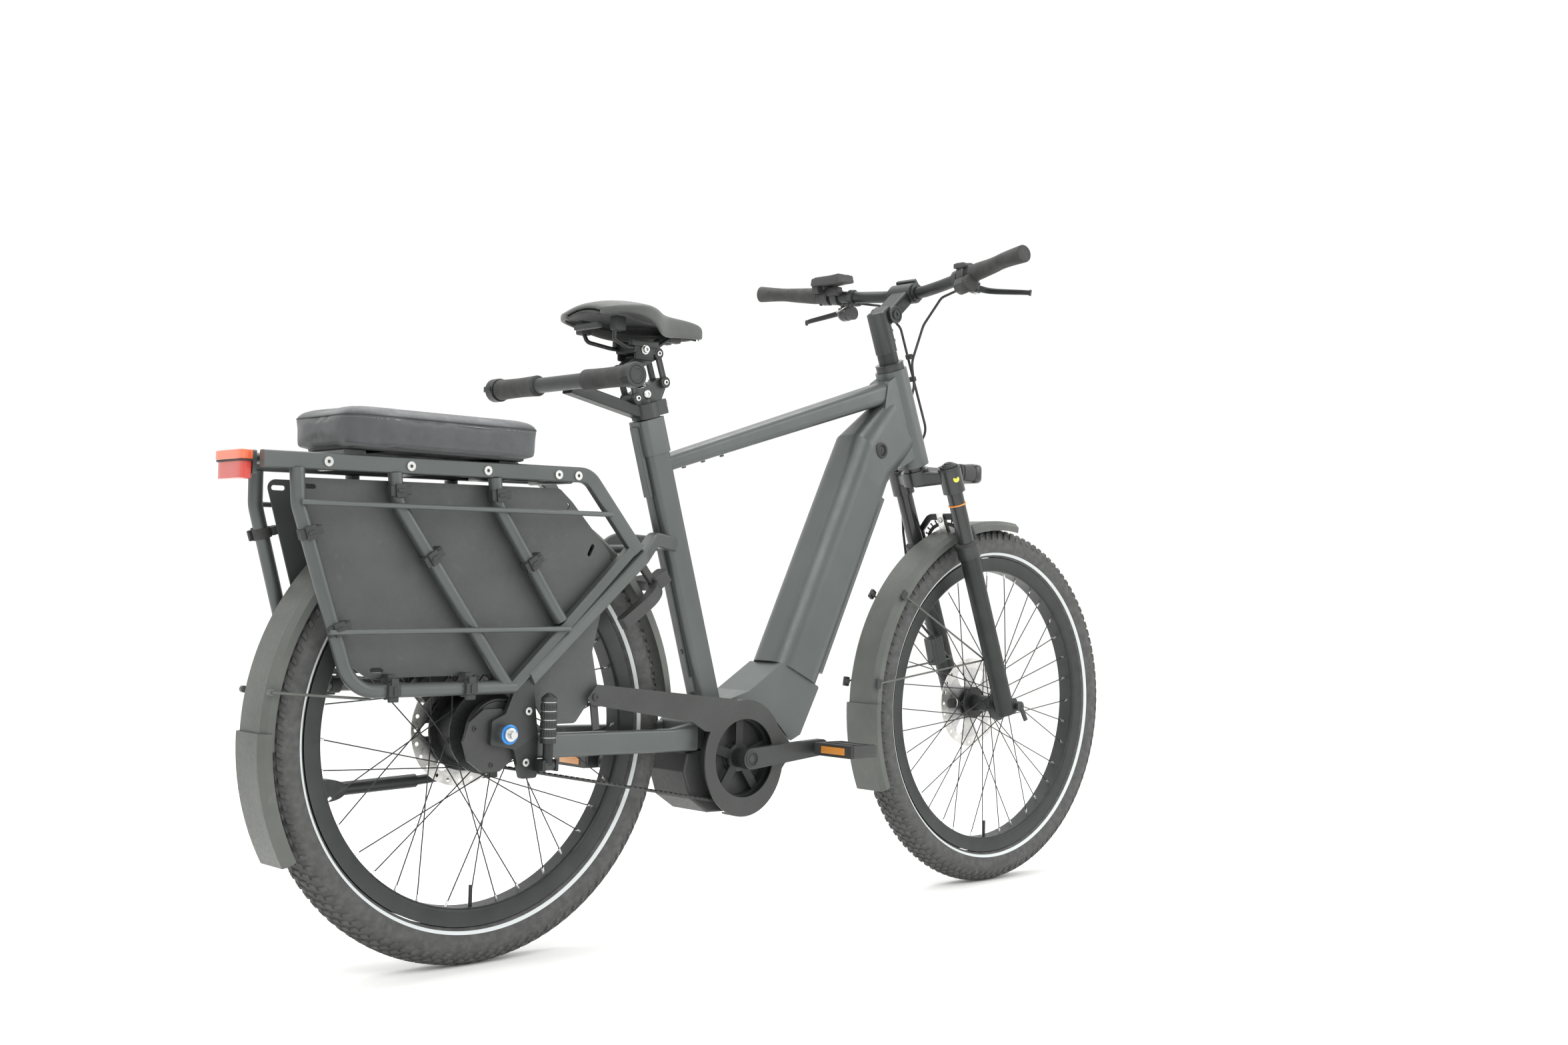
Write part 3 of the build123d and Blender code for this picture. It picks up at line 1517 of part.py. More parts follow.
def lever_pivot(side):
    """The brake lever's pin, ahead of the bar and below it."""
    base = on_bar(side, lever_clamp_place)
    return base + Vector(lever_pivot_forward, side * 10, lever_pivot_drop)


with BuildPart() as bar_controls:
    for side in (-1, 1):
        base = on_bar(side, lever_clamp_place)
        inner, end = bar_run(side)
        along = (end - inner).normalized()
        rod(base - along * 7, base + along * 7, 17, bar_radius + weld_gap)
        pin = lever_pivot(side)
        reservoir = base + Vector(33, -side * 30, -8)
        rod(reservoir, reservoir + Vector(-7, side * 30, -1), 9)
        beam(base + Vector(15, 0, -5), pin + Vector(-14, -side * 4, 3), 14, 14, 3)
        for height in (-1, 1):
            plate = pin + Vector(0, 0, height * 7.6)
            rod(plate - Vector(0, 0, 1.8), plate + Vector(0, 0, 1.8), 9)
            heel = plate - Vector(10, 0, 0)
            rod(heel - Vector(0, 0, 1.8), heel + Vector(0, 0, 1.8), 6)
        rod(pin - Vector(0, 0, 9), pin + Vector(0, 0, 9), 3)
    shifter = on_bar(-1, 152)
    inner, end = bar_run(-1)
    along = (end - inner).normalized()
    rod(shifter - along * 8, shifter + along * 8, 22)
    thumb = shifter + Vector(-12, 0, -20)
    rod(thumb - along * 10, thumb + along * 12, 14)
    inner, end = bar_run(1)
    along = (end - inner).normalized()
    screen = on_bar(1, 154)
    rod(screen - along * 8, screen + along * 8, 18)
    beam(screen + Vector(-10, 0, 12), screen + Vector(-12, 0, 20), 20, 20, 3)
    beam(screen + Vector(-18, -66, 27), screen + Vector(-14, 10, 24), 44, 15, 4)
    bell = on_bar(1, 214)
    rod(bell - along * 5, bell + along * 5, 15)
    rod(bell + Vector(-2, 0, -13), bell + Vector(-8, 0, -24), 6)
    rod(bell + Vector(-8, -12, -34), bell + Vector(-8, 12, -34), 13)
    for side in (-1, 1):
        rod(on_bar(side, 100), on_bar(side, 235), bar_radius + weld_gap, mode=Mode.SUBTRACT)
save(bar_controls.part, "bar_controls")


def brake_lever(side):
    """A two-finger lever: an eye on its pin and a blade that runs out ahead of the grip."""
    pin = lever_pivot(side)
    rod(pin - Vector(0, 0, 5.4), pin + Vector(0, 0, 5.4), 8)
    knee = pin + Vector(18, side * 16, -4)
    tip = pin + Vector(9, side * 116, -20)
    beam(pin + Vector(4, side * 3, 0), knee, 9, 8, 2)
    pipe([knee - Vector(4, side * 5, 0), knee + Vector(1, side * 14, -2), tip], [14], 5)
    rod(tip, tip + Vector(3, side * 4, 0), 6)
    rod(pin - Vector(0, 0, 12), pin + Vector(0, 0, 12), 3.1, mode=Mode.SUBTRACT)


with BuildPart() as brake_lever_right:
    brake_lever(-1)
save(brake_lever_right.part, "brake_lever_right")

with BuildPart() as brake_lever_left:
    brake_lever(1)
save(brake_lever_left.part, "brake_lever_left")

light_length = 84
light_ahead = 84
light_width = 62
light_height = 38

with BuildPart() as headlight:
    light_rear = steer(crown_high - 20, light_ahead)
    light_z = light_rear.Z - 14
    with BuildSketch(Plane.YZ.offset(light_rear.X)) as lamp_rear:
        with Locations((0, light_z)):
            RectangleRounded(light_width - 22, light_height - 10, 8)
    with BuildSketch(Plane.YZ.offset(light_rear.X + light_length)) as lamp_face:
        with Locations((0, light_z)):
            RectangleRounded(light_width, light_height, 9)
    loft([lamp_rear.sketch, lamp_face.sketch])
    beam(steer(crown_low + 20, 27), Vector(light_rear.X + 10, 0, light_z - 8), 20, 6, 2)
    add(fork_crown.part, mode=Mode.SUBTRACT)
save(headlight.part, "headlight")

# ------------------------------------------------------------------ fork lowers and what they carry
with BuildPart() as fork_lowers:
    for side in (-1, 1):
        top = steer(lowers_high, leg_ahead, side * leg_half_spacing)
        collar = steer(lowers_high - 26, leg_ahead, side * leg_half_spacing)
        bottom = steer(lowers_low, leg_ahead, side * leg_half_spacing)
        rod(bottom, top, lower_leg_radius)
        rod(collar, top, lower_leg_radius + 3)
        beam(
            Vector(front_x - 30, side * leg_half_spacing, axle_z + 2),
            Vector(front_x + 8, side * leg_half_spacing, axle_z),
            18,
            30,
            8,
        )
        rod(
            steer(lowers_high - stanchion_overlap - fork_travel - 12, leg_ahead, side * leg_half_spacing),
            steer(lowers_high + 2, leg_ahead, side * leg_half_spacing),
            stanchion_radius + pin_gap,
            mode=Mode.SUBTRACT,
        )
    arch_ahead = leg_ahead + stanchion_radius + 7
    flat_pipe(
        [
            steer(lowers_high - 20, arch_ahead, -leg_half_spacing),
            steer(lowers_high + 24, arch_ahead, -leg_half_spacing),
            steer(lowers_high + 52, arch_ahead, -34),
            steer(lowers_high + 52, arch_ahead, 34),
            steer(lowers_high + 24, arch_ahead, leg_half_spacing),
            steer(lowers_high - 20, arch_ahead, leg_half_spacing),
        ],
        [14, 16, 16, 14],
        12,
        10,
        3,
    )
    rod(Vector(front_x, -120, axle_z), Vector(front_x, 120, axle_z), 8, mode=Mode.SUBTRACT)
save(fork_lowers.part, "fork_lowers")

with BuildPart() as front_axle:
    rod(Vector(front_x, -90, axle_z), Vector(front_x, 80, axle_z), hub_axle_radius)
    for side in (-1, 1):
        rod(Vector(front_x, side * 56, axle_z), Vector(front_x, side * 78, axle_z), 8 - weld_gap)
    rod(Vector(front_x, -84, axle_z), Vector(front_x, -90, axle_z), 10)
    beam(
        Vector(front_x + 2, -88, axle_z),
        Vector(front_x + 14, -92, axle_z - 28),
        6,
        9,
        2,
    )
    add(fork_lowers.part, mode=Mode.SUBTRACT)
save(front_axle.part, "front_axle")

with BuildPart() as front_caliper:
    caliper_foot = steer(96, leg_ahead - 44, front_rotor_y + 1)
    caliper_top = steer(150, leg_ahead - 40, front_rotor_y + 1)
    beam(caliper_foot, caliper_top, 26, 34, 6)
    disc(
        (front_x, axle_z),
        rotor_radius + 3,
        front_rotor_y - pad_gap,
        front_rotor_y + rotor_thickness + pad_gap,
        mode=Mode.SUBTRACT,
    )
    add(fork_lowers.part, mode=Mode.SUBTRACT)
save(front_caliper.part, "front_caliper")

with BuildPart() as front_mudguard:
    mudguard(front_x, guard_radius, guard_half_width - 1, -8, -82)
    mudguard(front_x, guard_radius, guard_half_width - 1, 8, -16.05)
    mudguard(front_x, guard_radius + 4, guard_half_width + 2, -88, -26)
    arch_rear = steer(lowers_high + 48, arch_ahead - 5.2)
    hanger_angle = radians(111)
    hanger_foot = Vector(
        front_x + (guard_radius + 2.5) * cos(hanger_angle),
        0,
        axle_z + (guard_radius + 2.5) * sin(hanger_angle),
    )
    beam(hanger_foot, arch_rear, 22, 3, 1)
    for side in (-1, 1):
        hub_side = side * (leg_half_spacing - lower_leg_radius - 3)
        node_point = Vector(front_x - 60, hub_side, axle_z + 92)
        leg_point = steer(92, leg_ahead, side * (leg_half_spacing - lower_leg_radius + 2))
        for angle in (8, 36):
            far = Vector(
                front_x - (guard_radius + 3) * cos(radians(angle)),
                side * (guard_half_width + 4),
                axle_z + (guard_radius + 3) * sin(radians(angle)),
            )
            rod(node_point, far, 1.8)
            rod(far - Vector(0, side * 5.5, 0), far + Vector(0, side * 1, 0), 5)
        rod(node_point, leg_point, 4)
    add(fork_lowers.part, mode=Mode.SUBTRACT)
    add(front_caliper.part, mode=Mode.SUBTRACT)
save(front_mudguard.part, "front_mudguard")

# ------------------------------------------------------------------ hoses and cables
hose_radius = 2.5

with BuildPart() as bar_hoses:
    gather = steer(742, 66)
    right_start = on_bar(-1, lever_clamp_place + 34) + Vector(29, 4, -10)
    pipe(
        [
            right_start,
            right_start + Vector(8, 46, -8),
            Vector(gather.X + 12, -30, gather.Z + 30),
            steer(700, 60, -3.2),
            steer(655, 52, -3.2),
            steer(632, head_tube_radius + hose_radius, -3.2),
        ],
        [24, 30, 60, 30],
        hose_radius,
    )
    left_start = on_bar(1, lever_clamp_place + 34) + Vector(29, -4, -10)
    outer_side = leg_half_spacing + lower_leg_radius + 8.5
    pipe(
        [
            left_start,
            left_start + Vector(8, -46, -8),
            Vector(gather.X + 12, 30, gather.Z + 30),
            steer(700, 60, 3.2),
            steer(560, 64, 3.2),
            steer(455, 54, outer_side),
            steer(360, 26, outer_side),
            steer(230, 4, outer_side),
            steer(186, -20, leg_half_spacing),
            steer(156, -16, front_rotor_y + 6),
        ],
        [24, 30, 60, 40, 40, 60, 30, 14],
        hose_radius,
    )
save(bar_hoses.part, "bar_hoses")
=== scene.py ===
import json
from math import cos, pi, radians, sin, sqrt

import bmesh
import bpy
from mathutils import Matrix, Vector
from mathutils.bvhtree import BVHTree


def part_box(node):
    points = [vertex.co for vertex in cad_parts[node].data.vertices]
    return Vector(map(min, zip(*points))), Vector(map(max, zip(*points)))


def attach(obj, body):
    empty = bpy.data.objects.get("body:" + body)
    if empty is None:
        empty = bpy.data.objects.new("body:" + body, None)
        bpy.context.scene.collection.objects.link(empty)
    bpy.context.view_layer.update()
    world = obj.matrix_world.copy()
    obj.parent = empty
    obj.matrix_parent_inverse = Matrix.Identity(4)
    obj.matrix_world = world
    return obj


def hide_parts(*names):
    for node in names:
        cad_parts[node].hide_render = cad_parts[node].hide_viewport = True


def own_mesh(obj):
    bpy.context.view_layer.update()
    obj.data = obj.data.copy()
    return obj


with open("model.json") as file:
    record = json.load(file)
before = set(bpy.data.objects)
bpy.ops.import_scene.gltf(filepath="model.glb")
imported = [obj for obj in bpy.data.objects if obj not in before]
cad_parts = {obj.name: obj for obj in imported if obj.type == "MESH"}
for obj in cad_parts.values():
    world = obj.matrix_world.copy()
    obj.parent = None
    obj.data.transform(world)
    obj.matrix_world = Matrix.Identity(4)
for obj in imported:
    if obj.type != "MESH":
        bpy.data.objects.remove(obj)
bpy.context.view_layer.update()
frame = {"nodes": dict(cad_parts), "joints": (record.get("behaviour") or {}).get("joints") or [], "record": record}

NODES = frame["nodes"]


# ------------------------------------------------------------------ places, read from the frame
def joint(name):
    return next(j for j in frame["joints"] if j["name"] == name)


def joint_at(name):
    return Vector(joint(name)["pos_m"])


FRONT_AXLE = joint_at("front_wheel_spin")
REAR_AXLE = joint_at("rear_wheel_spin")
CRANK_AXLE = joint_at("crank_spin")
STEER_UP = Vector(joint("steering")["axis"])
STEER_AHEAD = Vector((STEER_UP.z, 0, -STEER_UP.x))
STEER_POINT = joint_at("steering")
STEER_POINT_ALONG = 0.600
TYRE_RADIUS = FRONT_AXLE.z
TYRE_HALF_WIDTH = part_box("front_tyre")[1].y


def steer(along, ahead=0.0, side=0.0):
    """A point by its distance along the steering axis from axle height, ahead of it and to its left."""
    return STEER_POINT + STEER_UP * (along - STEER_POINT_ALONG) + STEER_AHEAD * ahead + Vector((0, side, 0))


# ------------------------------------------------------------------ camera, light and floor
CAMERA_PLACE = Vector((-2.0848, -2.2421, 0.5949))
CAMERA_YAW, CAMERA_PITCH, CAMERA_ROLL = 0.8063, 0.0352, 0.0218
CAMERA_LENS = 39.27


def aim_camera():
    """Sets the camera from its yaw, pitch and roll, in radians."""
    ahead = Vector((
        cos(CAMERA_YAW) * cos(CAMERA_PITCH),
        sin(CAMERA_YAW) * cos(CAMERA_PITCH),
        sin(CAMERA_PITCH),
    ))
    level = Vector((sin(CAMERA_YAW), -cos(CAMERA_YAW), 0))
    up = level.cross(ahead)
    right = level * cos(CAMERA_ROLL) + up * sin(CAMERA_ROLL)
    top = up * cos(CAMERA_ROLL) - level * sin(CAMERA_ROLL)
    turn = Matrix((right, top, -ahead)).transposed()
    lens = bpy.data.cameras.new("camera")
    lens.lens = CAMERA_LENS
    lens.sensor_width = 36
    camera = bpy.data.objects.new("camera", lens)
    camera.matrix_world = Matrix.Translation(CAMERA_PLACE) @ turn.to_4x4()
    bpy.context.scene.collection.objects.link(camera)
    bpy.context.scene.camera = camera


def soft_light(name, place, target, size, power):
    light = bpy.data.lights.new(name, "AREA")
    light.shape = "RECTANGLE"
    light.size, light.size_y = size
    light.energy = power
    lamp = bpy.data.objects.new(name, light)
    lamp.location = place
    lamp.rotation_euler = (Vector(target) - Vector(place)).to_track_quat("-Z", "Y").to_euler()
    bpy.context.scene.collection.objects.link(lamp)


def build_stage():
    """A plain soft studio: an even world, three area lights and a pale floor."""
    bpy.context.scene.view_settings.view_transform = "Standard"
    world = bpy.data.worlds.new("studio")
    bpy.context.scene.world = world
    world.use_nodes = True
    background = world.node_tree.nodes["Background"]
    background.inputs["Color"].default_value = (1.0, 1.0, 0.985, 1)
    background.inputs["Strength"].default_value = 1.08
    soft_light("key", (-2.2, -2.6, 3.4), (0, 0, 0.5), (3.0, 2.0), 62)
    soft_light("fill", (2.6, -2.8, 2.2), (0.2, 0, 0.6), (2.6, 2.0), 36)
    soft_light("top", (0, 0.6, 3.8), (0, 0, 0.4), (3.6, 2.4), 105)
    floor_mesh = bpy.data.meshes.new("floor")
    reach = 14.0
    floor_mesh.from_pydata(
        [(-reach, -reach, 0), (reach, -reach, 0), (reach, reach, 0), (-reach, reach, 0)], [], [(0, 1, 2, 3)]
    )
    floor = bpy.data.objects.new("floor", floor_mesh)
    bpy.context.scene.collection.objects.link(floor)
    material = bpy.data.materials.new("floor_paper")
    material.use_nodes = True
    shader = material.node_tree.nodes["Principled BSDF"]
    shader.inputs["Base Color"].default_value = (0.95, 0.95, 0.94, 1)
    shader.inputs["Roughness"].default_value = 0.8
    floor_mesh.materials.append(material)


aim_camera()
build_stage()


# ------------------------------------------------------------------ materials
class Surface:
    """A procedural material: a Principled shader fed by noise in the object's own coordinates."""

    def __init__(self, name):
        self.material = bpy.data.materials.new(name)
        self.material.use_nodes = True
        self.tree = self.material.node_tree
        self.shader = self.tree.nodes["Principled BSDF"]
        self.coords = self.tree.nodes.new("ShaderNodeTexCoord").outputs["Object"]
        self.normal = None

    def node(self, kind, **inputs):
        made = self.tree.nodes.new(kind)
        for key, value in inputs.items():
            self.feed(made.inputs[key.replace("_", " ")], value)
        return made

    def feed(self, socket, value):
        if isinstance(value, bpy.types.NodeSocket):
            self.tree.links.new(value, socket)
        else:
            socket.default_value = value

    def noise(self, scale, detail=2.0, stretch=(1, 1, 1)):
        mapped = self.node("ShaderNodeMapping", Vector=self.coords, Scale=stretch)
        texture = self.node("ShaderNodeTexNoise", Vector=mapped.outputs[0], Scale=scale, Detail=detail)
        return texture.outputs["Fac"]

    def cells(self, scale, feature="F1"):
        texture = self.node("ShaderNodeTexVoronoi", Vector=self.coords, Scale=scale)
        texture.feature = feature
        return texture.outputs["Distance"]

    def spread(self, value, low, high, start=0.3, stop=0.7):
        """Maps a noise value from start..stop to low..high."""
        mapped = self.node("ShaderNodeMapRange", Value=value)
        self.feed(mapped.inputs["From Min"], start)
        self.feed(mapped.inputs["From Max"], stop)
        self.feed(mapped.inputs["To Min"], low)
        self.feed(mapped.inputs["To Max"], high)
        return mapped.outputs["Result"]

    def blend(self, factor, first, second):
        mix = self.tree.nodes.new("ShaderNodeMix")
        mix.data_type = "RGBA"
        self.feed(mix.inputs["Factor"], factor)
        self.feed(mix.inputs["A"], first if isinstance(first, bpy.types.NodeSocket) else (*first, 1))
        self.feed(mix.inputs["B"], second if isinstance(second, bpy.types.NodeSocket) else (*second, 1))
        return mix.outputs["Result"]

    def math(self, operation, first, second=0.0):
        made = self.tree.nodes.new("ShaderNodeMath")
        made.operation = operation
        self.feed(made.inputs[0], first)
        self.feed(made.inputs[1], second)
        return made.outputs[0]

    def bump(self, height, depth, strength=1.0):
        """Adds a bump of a depth in metres."""
        made = self.tree.nodes.new("ShaderNodeBump")
        self.feed(made.inputs["Height"], height)
        made.inputs["Distance"].default_value = depth
        made.inputs["Strength"].default_value = strength
        if self.normal:
            self.tree.links.new(self.normal, made.inputs["Normal"])
        self.normal = made.outputs["Normal"]
        self.tree.links.new(self.normal, self.shader.inputs["Normal"])

    def wear_and_painted_highlight_edges(self):
        """A mask that is 1 on sharp outer edges, where the colour is painted lighter: partly wear, partly a
        painted highlight.
        """
        geometry = self.tree.nodes.new("ShaderNodeNewGeometry")
        return self.spread(geometry.outputs["Pointiness"], 0.0, 1.0, 0.52, 0.60)

    def radius_from(self, centre):
        """The distance from a wheel's axle, which runs along Y."""
        offset = self.tree.nodes.new("ShaderNodeVectorMath")
        offset.operation = "SUBTRACT"
        self.feed(offset.inputs[0], self.coords)
        offset.inputs[1].default_value = centre
        flat = self.tree.nodes.new("ShaderNodeVectorMath")
        flat.operation = "MULTIPLY"
        self.tree.links.new(offset.outputs[0], flat.inputs[0])
        flat.inputs[1].default_value = (1, 0, 1)
        length = self.tree.nodes.new("ShaderNodeVectorMath")
        length.operation = "LENGTH"
        self.tree.links.new(flat.outputs[0], length.inputs[0])
        return length.outputs["Value"]

    def band(self, value, low, high):
        """1 where a value lies between low and high."""
        above = self.math("GREATER_THAN", value, low)
        below = self.math("LESS_THAN", value, high)
        return self.math("MULTIPLY", above, below)

    def set(self, **inputs):
        for key, value in inputs.items():
            self.feed(self.shader.inputs[key.replace("_", " ")], value)
        return self


def tone(colour, factor):
    return tuple(min(1.0, c * factor) for c in colour)


def painted(name, colour, rough=0.38, flake=0.06, metallic=0.35):
    """Powder coat: fine orange peel, faint metal flake and sharp edges painted lighter, partly as wear and partly
    as a painted highlight.
    """
    s = Surface(name)
    cloud = s.spread(s.noise(9, 4), 0.0, 1.0)
    base = s.blend(cloud, tone(colour, 0.9), tone(colour, 1.1))
    # Sharp edges painted lighter: partly wear, partly a painted highlight.
    edges = s.wear_and_painted_highlight_edges()
    base = s.blend(s.math("MULTIPLY", edges, 0.35), base, tone(colour, 1.7))
    flakes = s.spread(s.noise(2600, 1), -flake, flake, 0.2, 0.8)
    s.set(
        Base_Color=base,
        Metallic=metallic,
        Roughness=s.math("ADD", s.spread(s.noise(40, 5), rough - 0.05, rough + 0.07), flakes),
        Coat_Weight=0.25,
        Coat_Roughness=0.35,
    )
    s.bump(s.noise(900, 2), 0.00012, 0.5)
    return s.material


def moulded(name, colour, rough=0.5, grain=1500):
    """Moulded plastic: fine spark-eroded grain, slight flow clouds and scuffs."""
    s = Surface(name)
    cloud = s.spread(s.noise(14, 3), 0.0, 1.0)
    base = s.blend(cloud, tone(colour, 0.86), tone(colour, 1.14))
    scuff = s.spread(s.noise(60, 8, (1, 3, 1)), 0.0, 1.0, 0.62, 0.8)
    base = s.blend(s.math("MULTIPLY", scuff, 0.25), base, tone(colour, 2.2))
    s.set(
        Base_Color=base,
        Roughness=s.spread(s.noise(180, 4), rough - 0.07, rough + 0.08),
        Specular_IOR_Level=0.5,
    )
    s.bump(s.cells(grain), 0.00015, 0.5)
    return s.material


def rubbery(name, colour, rough=0.72, depth=0.0002):
    """Rubber: dull, finely pitted, with a pale bloom."""
    s = Surface(name)
    bloom = s.spread(s.noise(26, 6), 0.0, 1.0, 0.45, 0.8)
    base = s.blend(bloom, colour, tone(colour, 1.8))
    s.set(Base_Color=base, Roughness=s.spread(s.noise(90, 3), rough - 0.08, rough + 0.1))
    s.bump(s.noise(1100, 4), depth, 0.5)
    return s.material


def brushed(name, colour, rough=0.3):
    """Brushed or turned metal: fine lines, slight tarnish."""
    s = Surface(name)
    lines = s.noise(90, 6, (1, 1, 30))
    base = s.blend(s.spread(lines, 0, 1), tone(colour, 0.82), tone(colour, 1.1))
    tarnish = s.spread(s.noise(18, 5), 0.0, 0.3, 0.5, 0.85)
    base = s.blend(tarnish, base, tone(colour, 0.6))
    s.set(Base_Color=base, Metallic=1.0, Roughness=s.spread(lines, rough - 0.08, rough + 0.12))
    s.bump(lines, 0.00008, 0.4)
    return s.material


def anodised(name, colour, rough=0.42):
    """Satin anodised alloy: bead-blasted grain, and sharp edges painted lighter, partly as wear and partly as a
    painted highlight.
    """
    s = Surface(name)
    cloud = s.spread(s.noise(30, 4), 0.0, 1.0)
    base = s.blend(cloud, tone(colour, 0.85), tone(colour, 1.15))
    # Sharp edges painted lighter: partly wear, partly a painted highlight.
    base = s.blend(s.math("MULTIPLY", s.wear_and_painted_highlight_edges(), 0.5), base, tone(colour, 2.4))
    s.set(Base_Color=base, Metallic=0.6, Roughness=s.spread(s.noise(300, 3), rough - 0.06, rough + 0.08))
    s.bump(s.noise(1600, 2), 0.0001, 0.4)
    return s.material


def lens(name, colour, ribs=260, glow=0.0):
    """A moulded lens: clear coloured plastic over a grid of small prisms."""
    s = Surface(name)
    wave = s.tree.nodes.new("ShaderNodeTexWave")
    s.feed(wave.inputs["Vector"], s.coords)
    wave.bands_direction = "Y"
    wave.inputs["Scale"].default_value = ribs
    cross = s.tree.nodes.new("ShaderNodeTexWave")
    s.feed(cross.inputs["Vector"], s.coords)
    cross.bands_direction = "Z"
    cross.inputs["Scale"].default_value = ribs
    grid = s.math("MULTIPLY", wave.outputs["Fac"], cross.outputs["Fac"])
    base = s.blend(s.spread(grid, 0, 1, 0.0, 0.8), tone(colour, 0.7), tone(colour, 1.35))
    s.set(
        Base_Color=base,
        Roughness=s.spread(s.noise(60, 3), 0.08, 0.2),
        Transmission_Weight=0.15,
        Coat_Weight=1.0,
        Coat_Roughness=0.05,
        Emission_Color=(*colour, 1),
        Emission_Strength=glow,
    )
    s.bump(grid, 0.0004, 0.6)
    return s.material


def coated_fabric(name, colour, rough=0.55):
    """Coated cover cloth: a fine woven grain under a thin skin, soft creases with painted shade and light in them,
    and sheen.
    """
    s = Surface(name)
    # Painted shade and light: the colour darkens and lightens with a crease-like noise, as if the creases were
    # shaded.
    painted_crease_shade = s.spread(s.noise(22, 6, (1, 1, 0.6)), 0.0, 1.0)
    base = s.blend(painted_crease_shade, tone(colour, 0.8), tone(colour, 1.2))
    s.set(
        Base_Color=base,
        Roughness=s.spread(s.noise(120, 4), rough - 0.06, rough + 0.1),
        Sheen_Weight=0.25,
        Sheen_Roughness=0.5,
    )
    s.bump(s.noise(22, 5, (1, 1, 0.5)), 0.0012, 0.4)
    s.bump(s.cells(1400), 0.00018, 0.6)
    return s.material


def synthetic_leather(name, colour, rough=0.5):
    """Saddle cover: pebbled grain, its valleys painted darker as painted shade."""
    s = Surface(name)
    grain = s.cells(620, "F2")
    # Painted shade: the colour follows the bump's height, darker in the grain's valleys and lighter on its tops.
    base = s.blend(s.spread(grain, 0, 1, 0.1, 0.9), tone(colour, 0.75), tone(colour, 1.2))
    s.set(Base_Color=base, Roughness=s.spread(s.noise(50, 5), rough - 0.06, rough + 0.08), Sheen_Weight=0.1)
    s.bump(grain, 0.0003, 0.6)
    s.bump(s.noise(1800, 3), 0.00008, 0.5)
    return s.material


def tyre_rubber(name, centre):
    """Tyre rubber with a pale reflective band low on each wall and dusty knobs."""
    s = Surface(name)
    radius = s.radius_from(centre)
    black = (0.055, 0.056, 0.055)
    dust = s.spread(s.noise(70, 6), 0.0, 1.0, 0.4, 0.8)
    base = s.blend(dust, black, tone(black, 1.7))
    band = s.band(radius, 0.3035, 0.3085)
    base = s.blend(band, base, (0.62, 0.65, 0.66))
    rings = s.math("SINE", s.math("MULTIPLY", radius, 1800.0))
    s.set(Base_Color=base, Roughness=s.spread(s.noise(200, 4), 0.62, 0.8))
    s.bump(rings, 0.00012, 0.35)
    s.bump(s.noise(1300, 4), 0.0002, 0.5)
    return s.material


def spoke_metal(name, centre, nipple_start):
    """Black spokes that end in bright nipples."""
    s = Surface(name)
    nipple = s.math("GREATER_THAN", s.radius_from(centre), nipple_start)
    base = s.blend(nipple, (0.05, 0.05, 0.052), (0.8, 0.8, 0.8))
    s.set(Base_Color=base, Metallic=0.9, Roughness=s.spread(s.noise(300, 3), 0.25, 0.45))
    s.bump(s.noise(900, 3), 0.00005, 0.4)
    return s.material


def rotor_steel(name, centre):
    """A brake disc: turned rings and a brighter track where the pads run; the spider inside is left in the duller
    steel, not black.
    """
    s = Surface(name)
    radius = s.radius_from(centre)
    lines = s.math("SINE", s.math("MULTIPLY", radius, 9000.0))
    track = s.spread(radius, 0.0, 1.0, 0.071, 0.0715)
    base = s.blend(track, (0.62, 0.62, 0.62), (0.78, 0.77, 0.75))
    base = s.blend(s.spread(s.noise(40, 5), 0, 0.4), base, (0.5, 0.48, 0.45))
    s.set(Base_Color=base, Metallic=1.0, Roughness=s.spread(s.noise(200, 4), 0.25, 0.4))
    s.bump(lines, 0.00004, 0.5)
    return s.material


FRAME_GREY = (0.070, 0.079, 0.077)
NIPPLE_START = 0.2605
MATERIALS = {
    "frame_paint": painted("frame_paint", FRAME_GREY),
    "cover_paint": painted("cover_paint", tone(FRAME_GREY, 0.9), rough=0.45, flake=0.03, metallic=0.15),
    "panel_plastic": moulded("panel_plastic", (0.054, 0.058, 0.058), rough=0.5, grain=2200),
    "black_plastic": moulded("black_plastic", (0.034, 0.036, 0.035), rough=0.48),
    "gloss_black": painted("gloss_black", (0.026, 0.027, 0.028), rough=0.14, flake=0.0, metallic=0.2),
    "black_alloy": anodised("black_alloy", (0.034, 0.036, 0.036)),
    "rubber": rubbery("rubber", (0.032, 0.033, 0.032)),
    "steel": brushed("steel", (0.72, 0.72, 0.71)),
    "cushion": coated_fabric("cushion_cover", (0.050, 0.054, 0.058)),
    "saddle": synthetic_leather("saddle_cover", (0.060, 0.064, 0.060)),
    "red_lens": lens("red_lens", (0.72, 0.05, 0.03)),
    "belt": rubbery("belt_rubber", (0.035, 0.035, 0.035), rough=0.6),
    "bolt_steel": brushed("bolt_steel", (0.62, 0.62, 0.61), rough=0.3),
}
FENDER = moulded("mudguard_plastic", (0.086, 0.091, 0.084), rough=0.42, grain=2600)
DULL_BLACK = moulded("dull_black", (0.026, 0.027, 0.028), rough=0.55, grain=1800)
AMBER = lens("amber_reflector", (0.85, 0.30, 0.03), ribs=420)
TAIL_LENS = lens("tail_lens", (0.90, 0.16, 0.06), ribs=300, glow=0.15)
CLEAR_LENS = lens("headlight_lens", (0.78, 0.80, 0.82), ribs=180)
GLASS = painted("display_glass", (0.018, 0.020, 0.024), rough=0.08, flake=0.0, metallic=0.0)
ORANGE = rubbery("orange_ring", (0.85, 0.27, 0.04), rough=0.5)
YELLOW = painted("yellow_dot", (0.62, 0.68, 0.06), rough=0.35, flake=0.0, metallic=0.0)
BLUE = anodised("blue_anodised", (0.03, 0.16, 0.42), rough=0.3)
